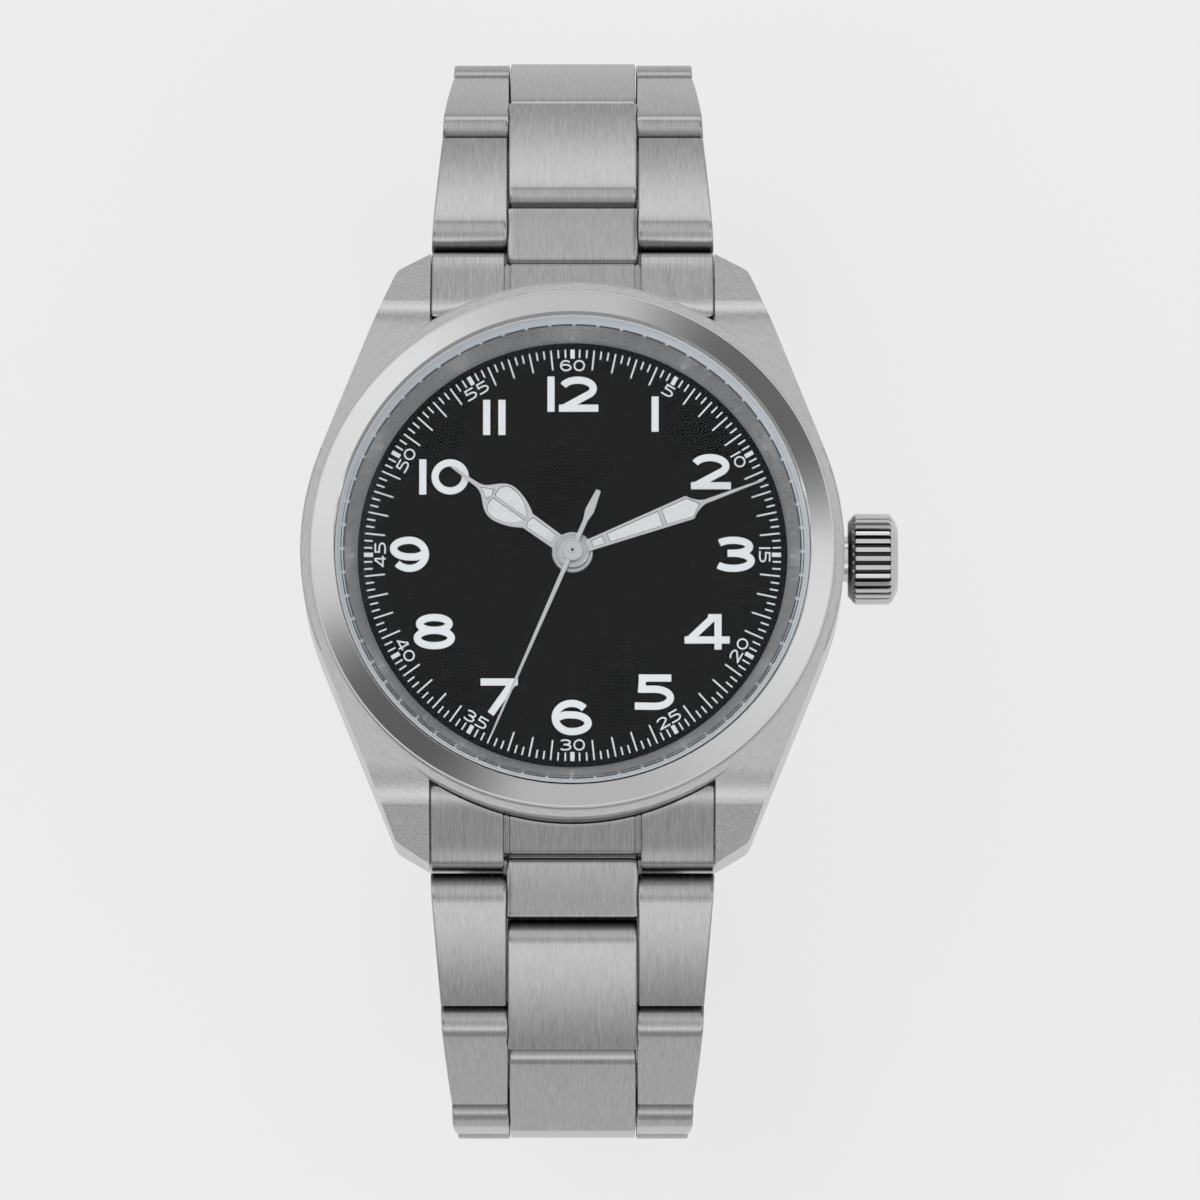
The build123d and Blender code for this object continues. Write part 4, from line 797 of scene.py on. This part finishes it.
# Digits as strokes in a box of width w and height h, with stroke t
def digitStrokes(digit, w, h, t):
    a = t / 2
    right, low, high = w - a, a, h - a
    cx, rx = w / 2, (right - a) / 2
    if digit == "0":
        return [arcPoints(cx, h / 2, rx, (high - low) / 2, 0, 360, 36)]
    if digit == "1":
        return [[(cx, 0), (cx, h)]]
    if digit == "2":
        ry = 0.24 * h
        bowl = arcPoints(cx - 0.02 * w, high - ry, rx * 0.96, ry, 160, -38, 20)
        return [bowl + [(0.62 * t, low)], [(0, low), (w, low)]]
    if digit == "3":
        mid = 0.53 * h
        topBowl = arcPoints(0.46 * w, (mid + high) / 2, right - 0.5 * w, (high - mid) / 2, 146, -90, 20)
        lowBowl = arcPoints(0.46 * w, (mid + low) / 2, right - 0.46 * w, (mid - low) / 2, 90, -146, 22)
        return [topBowl, lowBowl, [(0.32 * w, mid), (0.48 * w, mid)]]
    if digit == "4":
        stem, bar = 0.82 * w - a, 0.27 * h
        return [
            [(stem, 0), (stem, h)], [(stem - 0.12 * w, high), (0.1 * w, bar)], [(0, bar), (w, bar)],
            [(stem - 0.22 * w, high), (stem, high)],
        ]
    if digit == "5":
        mid, bend = 0.585 * h, 0.5 * w
        bowl = arcPoints(bend, (mid + low) / 2, right - bend, (mid - low) / 2, 90, -90, 20)
        return [
            [(0.1 * w, high), (0.93 * w, high)], [(0.12 * w + a, high + a), (0.075 * w + a, mid - a)],
            [(0.08 * w + a, mid)] + bowl + [(0, low + 0.01 * h)],
        ]
    if digit == "6":
        mid = 0.575 * h
        back = arcPoints(cx, h / 2, rx, (high - low) / 2, 40, 270, 26)
        bowl = arcPoints(cx, (mid + low) / 2, rx, (mid - low) / 2, -95, 90, 20)
        return [back, bowl + [(0.33 * w, mid), (0.16 * w, mid - 0.07 * h)]]
    if digit == "7":
        return [[(0, high), (w, high)], [(w - 0.62 * t, high), (0.27 * w, 0)]]
    if digit == "9":
        return [[(w - px, h - py) for px, py in points] for points in digitStrokes("6", w, h, t)]
    mid = 0.535 * h
    upper = arcPoints(cx, (mid + high) / 2, rx * 0.87, (high - mid) / 2, 0, 360, 32)
    return [upper, arcPoints(cx, (mid + low) / 2, rx, (mid - low) / 2, 0, 360, 36)]


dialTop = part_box("dial")[1].z
dialLook = {
    "base": dialTop - 0.01 * mm,
    "raised": dialTop + 0.07 * mm,
    "printed": dialTop + 0.02 * mm,
    "layer": 0.003 * mm,  # each further stroke of a digit lies this much higher
    "height": 2.5 * mm,
    "stroke": 0.5 * mm,
}

# hour numerals: digit, left edge and width, and the numeral's middle height, in mm from the dial's centre
hourNumerals = [
    ("1", -1.76, 0.5, 11.42), ("2", -0.95, 2.76, 11.42),
    ("1", 5.54, 0.5, 10.0), ("2", 8.3, 2.8, 5.9), ("3", 9.96, 2.8, 0.03), ("4", 7.84, 3.16, -5.47),
    ("5", 4.36, 2.74, -9.74), ("6", -1.45, 2.8, -11.53), ("7", -6.42, 2.6, -10.02),
    ("8", -11.1, 2.88, -5.45), ("9", -12.78, 2.74, 0.03),
    ("1", -10.74, 0.5, 5.53), ("0", -9.88, 2.62, 5.53), ("1", -6.27, 0.5, 9.76), ("1", -5.2, 0.5, 9.76),
]


def printDigit(shape, digit, width, height, stroke, place, level):
    # place turns a point of the digit's box into one of the dial
    for number, points in enumerate(digitStrokes(digit, width, height, stroke)):
        top = level + number * dialLook["layer"]
        strokePrism(shape, [place(px, py - height / 2) for px, py in points], stroke, dialLook["base"], top)


def buildNumerals():
    look, shape = dialLook, Shape()
    for digit, left, width, middle in hourNumerals:

        def place(x, y):
            return (x + left * mm, y + middle * mm)

        printDigit(shape, digit, width * mm, look["height"], look["stroke"], place, look["raised"])
    shape.piece("hourNumerals", materials["print"], "case")


minuteTrack = {
    "outer": 14.6 * mm, "lines": 180,
    "bold": {"every": 15, "length": 0.64 * mm, "width": 0.3 * mm},
    "long": {"every": 3, "length": 1.4 * mm, "width": 0.11 * mm},
    "short": {"every": 1, "length": 0.58 * mm, "width": 0.11 * mm},
    "numberRadius": 13.46 * mm, "numberHeight": 0.8 * mm, "numberStroke": 0.11 * mm,
    "digitWidth": 0.8 * mm, "digitGap": 0.15 * mm,
    "turnedOver": range(16, 45),  # the numbers round 30 stand the other way up
}


def buildMinuteTrack():
    look, shape = minuteTrack, Shape()
    for step in range(look["lines"]):
        turn = 2 * pi * step / look["lines"]
        mark = next(look[kind] for kind in ("bold", "long", "short") if step % look[kind]["every"] == 0)
        line = [(sin(turn) * reach, cos(turn) * reach) for reach in (look["outer"] - mark["length"], look["outer"])]
        strokePrism(shape, line, mark["width"], dialLook["base"], dialLook["printed"])
    shape.piece("minuteTrack", materials["print"], "case")


def buildMinuteNumbers():
    look, shape = minuteTrack, Shape()
    stroke, gap = look["numberStroke"], look["digitGap"]
    for minute in range(5, 65, 5):
        turn = radians(6 * minute)
        middleX, middleY = sin(turn) * look["numberRadius"], cos(turn) * look["numberRadius"]
        lean = turn + (pi if minute in look["turnedOver"] else 0)
        widths = [stroke if digit == "1" else look["digitWidth"] for digit in str(minute)]
        edge = -(sum(widths) + gap * (len(widths) - 1)) / 2

        def place(x, y):
            x += edge
            return (middleX + x * cos(lean) + y * sin(lean), middleY - x * sin(lean) + y * cos(lean))

        for digit, width in zip(str(minute), widths):
            printDigit(shape, digit, width, look["numberHeight"], stroke, place, dialLook["printed"])
            edge += width + gap
    shape.piece("minuteNumbers", materials["print"], "case")


buildNumerals()
buildMinuteTrack()
buildMinuteNumbers()
print("dial printed")

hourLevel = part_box("hour_hand")[0].z
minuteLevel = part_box("minute_hand")[0].z
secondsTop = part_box("seconds_hand")[1].z

# Hands: luminous fillings in the windows, and the turned collars on the hubs; outlines in mm
handLook = {
    "hour": {"angle": 305.8, "level": hourLevel}, "minute": {"angle": 69.2, "level": minuteLevel},
    "floor": 0.03 * mm, "top": 0.13 * mm,
    "gap": 0.03,  # the filling stops short of the frame, which leaves a fine dark line
    "stem": [(0.34, 1.63), (0.405, 3.66), (0.0, 3.82)], "rhomb": [(0.0, 6.96), (0.41, 7.12), (0.0, 7.88)],
    "minuteRoot": 0.33, "minuteWide": 0.865, "minuteReach": 8.8, "minuteFrame": 0.2,
    "minuteWindows": [(1.5, 2.32), (2.73, 6.57)], "minuteTip": (6.88, 8.79, 9.52),
    # name, hand, level, radii from the inside out, and height
    "collars": [
        ("hourHubCollar", "hour_hand", hourLevel + 0.3 * mm, (1.28, 1.31, 1.38, 1.42), 0.04),
        ("minuteHubCollar", "minute_hand", minuteLevel + 0.3 * mm, (0.96, 1.0, 1.07, 1.13), 0.05),
        ("secondsHubCap", "seconds_hand", secondsTop, (0.11, 0.13, 0.21, 0.25), 0.06),
        ("secondsHubRing", "seconds_hand", secondsTop, (0.6, 0.63, 0.69, 0.73), 0.03),
    ],
    "collarFoot": -0.02,
    "collarCount": 64, "collarCrease": 25, "pivotRadius": 0.1 * mm, "pivotHalf": 0.02 * mm, "pivotCount": 24,
}


def arcThrough(first, second, third, count=12):
    # points on the circle through three points, from the first to the third
    (ax, ay), (bx, by), (cx, cy) = first, second, third
    a, b, c = ax * ax + ay * ay, bx * bx + by * by, cx * cx + cy * cy
    d = 2 * (ax * (by - cy) + bx * (cy - ay) + cx * (ay - by))
    ox = (a * (by - cy) + b * (cy - ay) + c * (ay - by)) / d
    oy = (a * (cx - bx) + b * (ax - cx) + c * (bx - ax)) / d
    radius = hypot(ax - ox, ay - oy)
    start, middle, end = (atan2(y - oy, x - ox) for x, y in (first, second, third))
    sweep = (end - start) % (2 * pi)
    if (middle - start) % (2 * pi) > sweep:
        sweep -= 2 * pi
    angles = [start + sweep * step / count for step in range(count + 1)]
    return [(ox + radius * cos(angle), oy + radius * sin(angle)) for angle in angles]


def fillPrism(shape, outline, hand):
    # a flat filling with this outline (across, along) in mm, sunk a little in the hand
    turn, start, count = radians(hand["angle"]), len(shape.verts), len(outline)
    for level in (hand["level"] + handLook["floor"], hand["level"] + handLook["top"]):
        for across, along in outline:
            x, y = across * mm, along * mm
            shape.verts.append((x * cos(turn) + y * sin(turn), -x * sin(turn) + y * cos(turn), level))
    shape.join(start, count, 2, ends=2)


def flipOutline(outline):
    return [(-x, y) for x, y in reversed(outline)]


def mirrorOutline(outline):
    return outline + [(x, y) for x, y in flipOutline(outline) if x < 0]


def buildHourFill():
    look, shape, gap = handLook, Shape(), handLook["gap"]
    root, widest, tip = (0.085 + gap, 4.06), (1.23 - gap, 5.9), (0.085 + gap, 6.75 - gap)
    petal = arcThrough(root, (0.98 - gap, 4.96), widest) + arcThrough(widest, (0.84, 6.75 - gap), tip)[1:]
    for outline in (mirrorOutline(look["stem"]), petal, flipOutline(petal), mirrorOutline(look["rhomb"])):
        fillPrism(shape, outline, look["hour"])
    shape.piece("hourHandLume", materials["lume"], "hour_hand")


def buildMinuteFill():
    look, shape = handLook, Shape()

    def side(along):
        reach = min(along, look["minuteReach"]) / look["minuteReach"]
        return look["minuteRoot"] + (look["minuteWide"] - look["minuteRoot"]) * reach - look["minuteFrame"]

    for start, end in look["minuteWindows"]:
        fillPrism(shape, mirrorOutline([(side(start), start), (side(end), end)]), look["minute"])
    low, high, point = look["minuteTip"]
    tip = [(side(low), low), (side(look["minuteReach"]), high), (0.0, point - look["gap"])]
    fillPrism(shape, mirrorOutline(tip), look["minute"])
    shape.piece("minuteHandLume", materials["lume"], "minute_hand")


def buildHubs():
    look = handLook
    for name, body, base, radii, height in look["collars"]:
        shape = Shape()
        heights = (look["collarFoot"], height, height, look["collarFoot"])
        shape.turn([(radius * mm, base + up * mm) for radius, up in zip(radii, heights)], look["collarCount"])
        shape.piece(name, materials["polished"], body, look["collarCrease"])
    # dark disc in the seconds hand's hub, painted shade where its pivot hole is
    eye, radius, half = Shape(), look["pivotRadius"], look["pivotHalf"]
    eye.turn([(radius, secondsTop - half), (radius, secondsTop + half)], look["pivotCount"], closed=False, ends=1)
    eye.piece("secondsPivot", materials["shade"], "seconds_hand")


buildHourFill()
buildMinuteFill()
buildHubs()
print("hands filled and collared")

stageLook = {
    "half": 3.0, "color": (0.8, 0.8, 0.8, 1.0), "rough": 0.9, "backdrop": (0.831, 0.831, 0.831, 1.0), "held": 0.86,
}


def floorMaterial():
    look = stageLook
    mat, net = newMaterial("paleFloor")
    matt = net.add("BsdfPrincipled", Roughness=look["rough"], Base_Color=look["color"])
    glow = net.add("Emission", Strength=1.0, Color=look["backdrop"])
    ray = net.add("LightPath")
    seen = net.math("MAXIMUM", ray.outputs["Is Camera Ray"], ray.outputs["Is Transmission Ray"])
    seen = net.math("MAXIMUM", seen, ray.outputs["Is Glossy Ray"])
    pale = net.mix(net.times(seen, look["held"]), matt, glow)
    # clear from below, to show the case back
    behind, clear = net.add("NewGeometry").outputs["Backfacing"], net.add("BsdfTransparent")
    return finishMaterial(mat, net.mix(behind, pale, clear))


def buildFloor():
    half, level = stageLook["half"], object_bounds()[0][2]
    data = bpy.data.meshes.new("floor")
    corners = [(-half, -half, level), (half, -half, level), (half, half, level), (-half, half, level)]
    data.from_pydata(corners, [], [(0, 1, 2, 3)])
    data.materials.append(floorMaterial())
    floor = bpy.data.objects.new("floor", data)
    bpy.context.collection.objects.link(floor)


buildFloor()

# The studio's soft surroundings: brightness by the tilt from straight up towards 12 o'clock, in degrees,
# and patches, dim and bright, that polished steel mirrors. The ramp holds the levels as shares of the peak;
# patches: direction, depth of the shade, and the angles where it is whole and where it ends
worldLook = {
    "camera": 0.831, "peak": 2.0,
    "tilts": [
        (-180, 0.5), (-100, 0.5), (-76, 0.46), (-63, 0.52), (-55, 1.02), (-47, 1.48), (-38, 1.2), (-22, 0.8),
        (0, 0.98), (22, 0.99), (38, 1.0), (49, 0.55), (57, 1.0), (65, 1.66), (74, 1.12), (86, 0.5), (110, 0.45),
        (180, 0.46),
    ],
    "patches": [
        ((0.36, 0.465, 0.81), 0.79, 4, 20), ((-0.353, -0.191, 0.915), 0.78, 3, 18),
        ((0.43, -0.09, 0.9), -0.25, 4, 22), ((-0.41, 0.4, 0.82), -0.25, 4, 22),
    ],
}


def buildWorld():
    look = worldLook
    world = bpy.data.worlds.new("studioWorld")
    bpy.context.scene.world = world
    world.use_nodes = True
    world.node_tree.nodes.clear()
    net = Net(world.node_tree)
    toward = net.add("TexCoord").outputs["Generated"]
    split = net.add("SeparateXYZ", Vector=toward)
    tilt = net.math("ARCTAN2", split.outputs["Y"], split.outputs["Z"])
    share = net.math("ADD", net.math("DIVIDE", tilt, 2 * pi), 0.5, clamp=True)
    ramp = net.add("ValToRGB", Fac=share)
    ramp.color_ramp.interpolation = "CARDINAL"
    stops = ramp.color_ramp.elements
    while len(stops) < len(look["tilts"]):
        stops.new(0.5)
    for stop, (angle, level) in zip(stops, look["tilts"]):
        stop.position = angle / 360 + 0.5
        stop.color = (level / look["peak"],) * 3 + (1.0,)
    total = net.times(net.add("RGBToBW", Color=ramp), look["peak"])
    for middle, depth, inner, outer in look["patches"]:
        near = net.vector("DOT_PRODUCT", toward, Vector(middle).normalized())
        spread = net.range(near, cos(radians(outer)), cos(radians(inner)), 1.0, 1.0 - depth)
        spread.interpolation_type = "SMOOTHSTEP"
        total = net.times(total, spread)
    seen = net.add("LightPath").outputs["Is Camera Ray"]
    whole = net.math("ADD", net.times(seen, look["camera"]), net.times(net.without(seen), total))
    joined = net.add("CombineColor", Red=whole, Green=whole, Blue=whole)
    glow = net.add("Background", Strength=1.0, Color=joined)
    net.add("OutputWorld", Surface=glow)


buildWorld()

# Soft panels for the matt pieces, by name, place, size and power; the steel mirrors the surroundings alone
lamps = [("keyPanel", (-0.55, 0.05, 0.8), 0.9, 3.0), ("sidePanel", (0.6, -0.25, 0.6), 0.7, 1.0)]
for lampName, lampPlace, lampSize, lampPower in lamps:
    light = bpy.data.lights.new(lampName, "AREA")
    light.shape, light.size, light.energy = "SQUARE", lampSize, lampPower
    lamp = bpy.data.objects.new(lampName, light)
    lamp.visible_glossy = False
    bpy.context.collection.objects.link(lamp)
    lamp.location = lampPlace
    lamp.rotation_euler = (-Vector(lampPlace)).to_track_quat("-Z", "Y").to_euler()

cameraSettings = {
    "tilt": 9.3, "distance": 0.9, "field": 83.9 * mm, "right": 1.93 * mm, "down": 3.57 * mm, "level": 9.6 * mm,
    "sensor": 36, "clip": (0.01, 20),
}


def buildCamera():
    look = cameraSettings
    tilt = radians(look["tilt"])
    up = Vector((0, cos(tilt), sin(tilt)))
    back = Vector((0, -sin(tilt), cos(tilt)))
    aim = Vector((look["right"], 0, look["level"])) - up * look["down"]
    data = bpy.data.cameras.new("photoView")
    data.sensor_width = look["sensor"]
    data.lens = look["sensor"] * look["distance"] / look["field"]
    data.clip_start, data.clip_end = look["clip"]
    camera = bpy.data.objects.new("photoView", data)
    bpy.context.collection.objects.link(camera)
    camera.location = aim + back * look["distance"]
    camera.rotation_euler = (tilt, 0, 0)
    bpy.context.scene.camera = camera


buildCamera()
bpy.context.scene.view_settings.view_transform = "Standard"
print("stage, lamps and camera set")
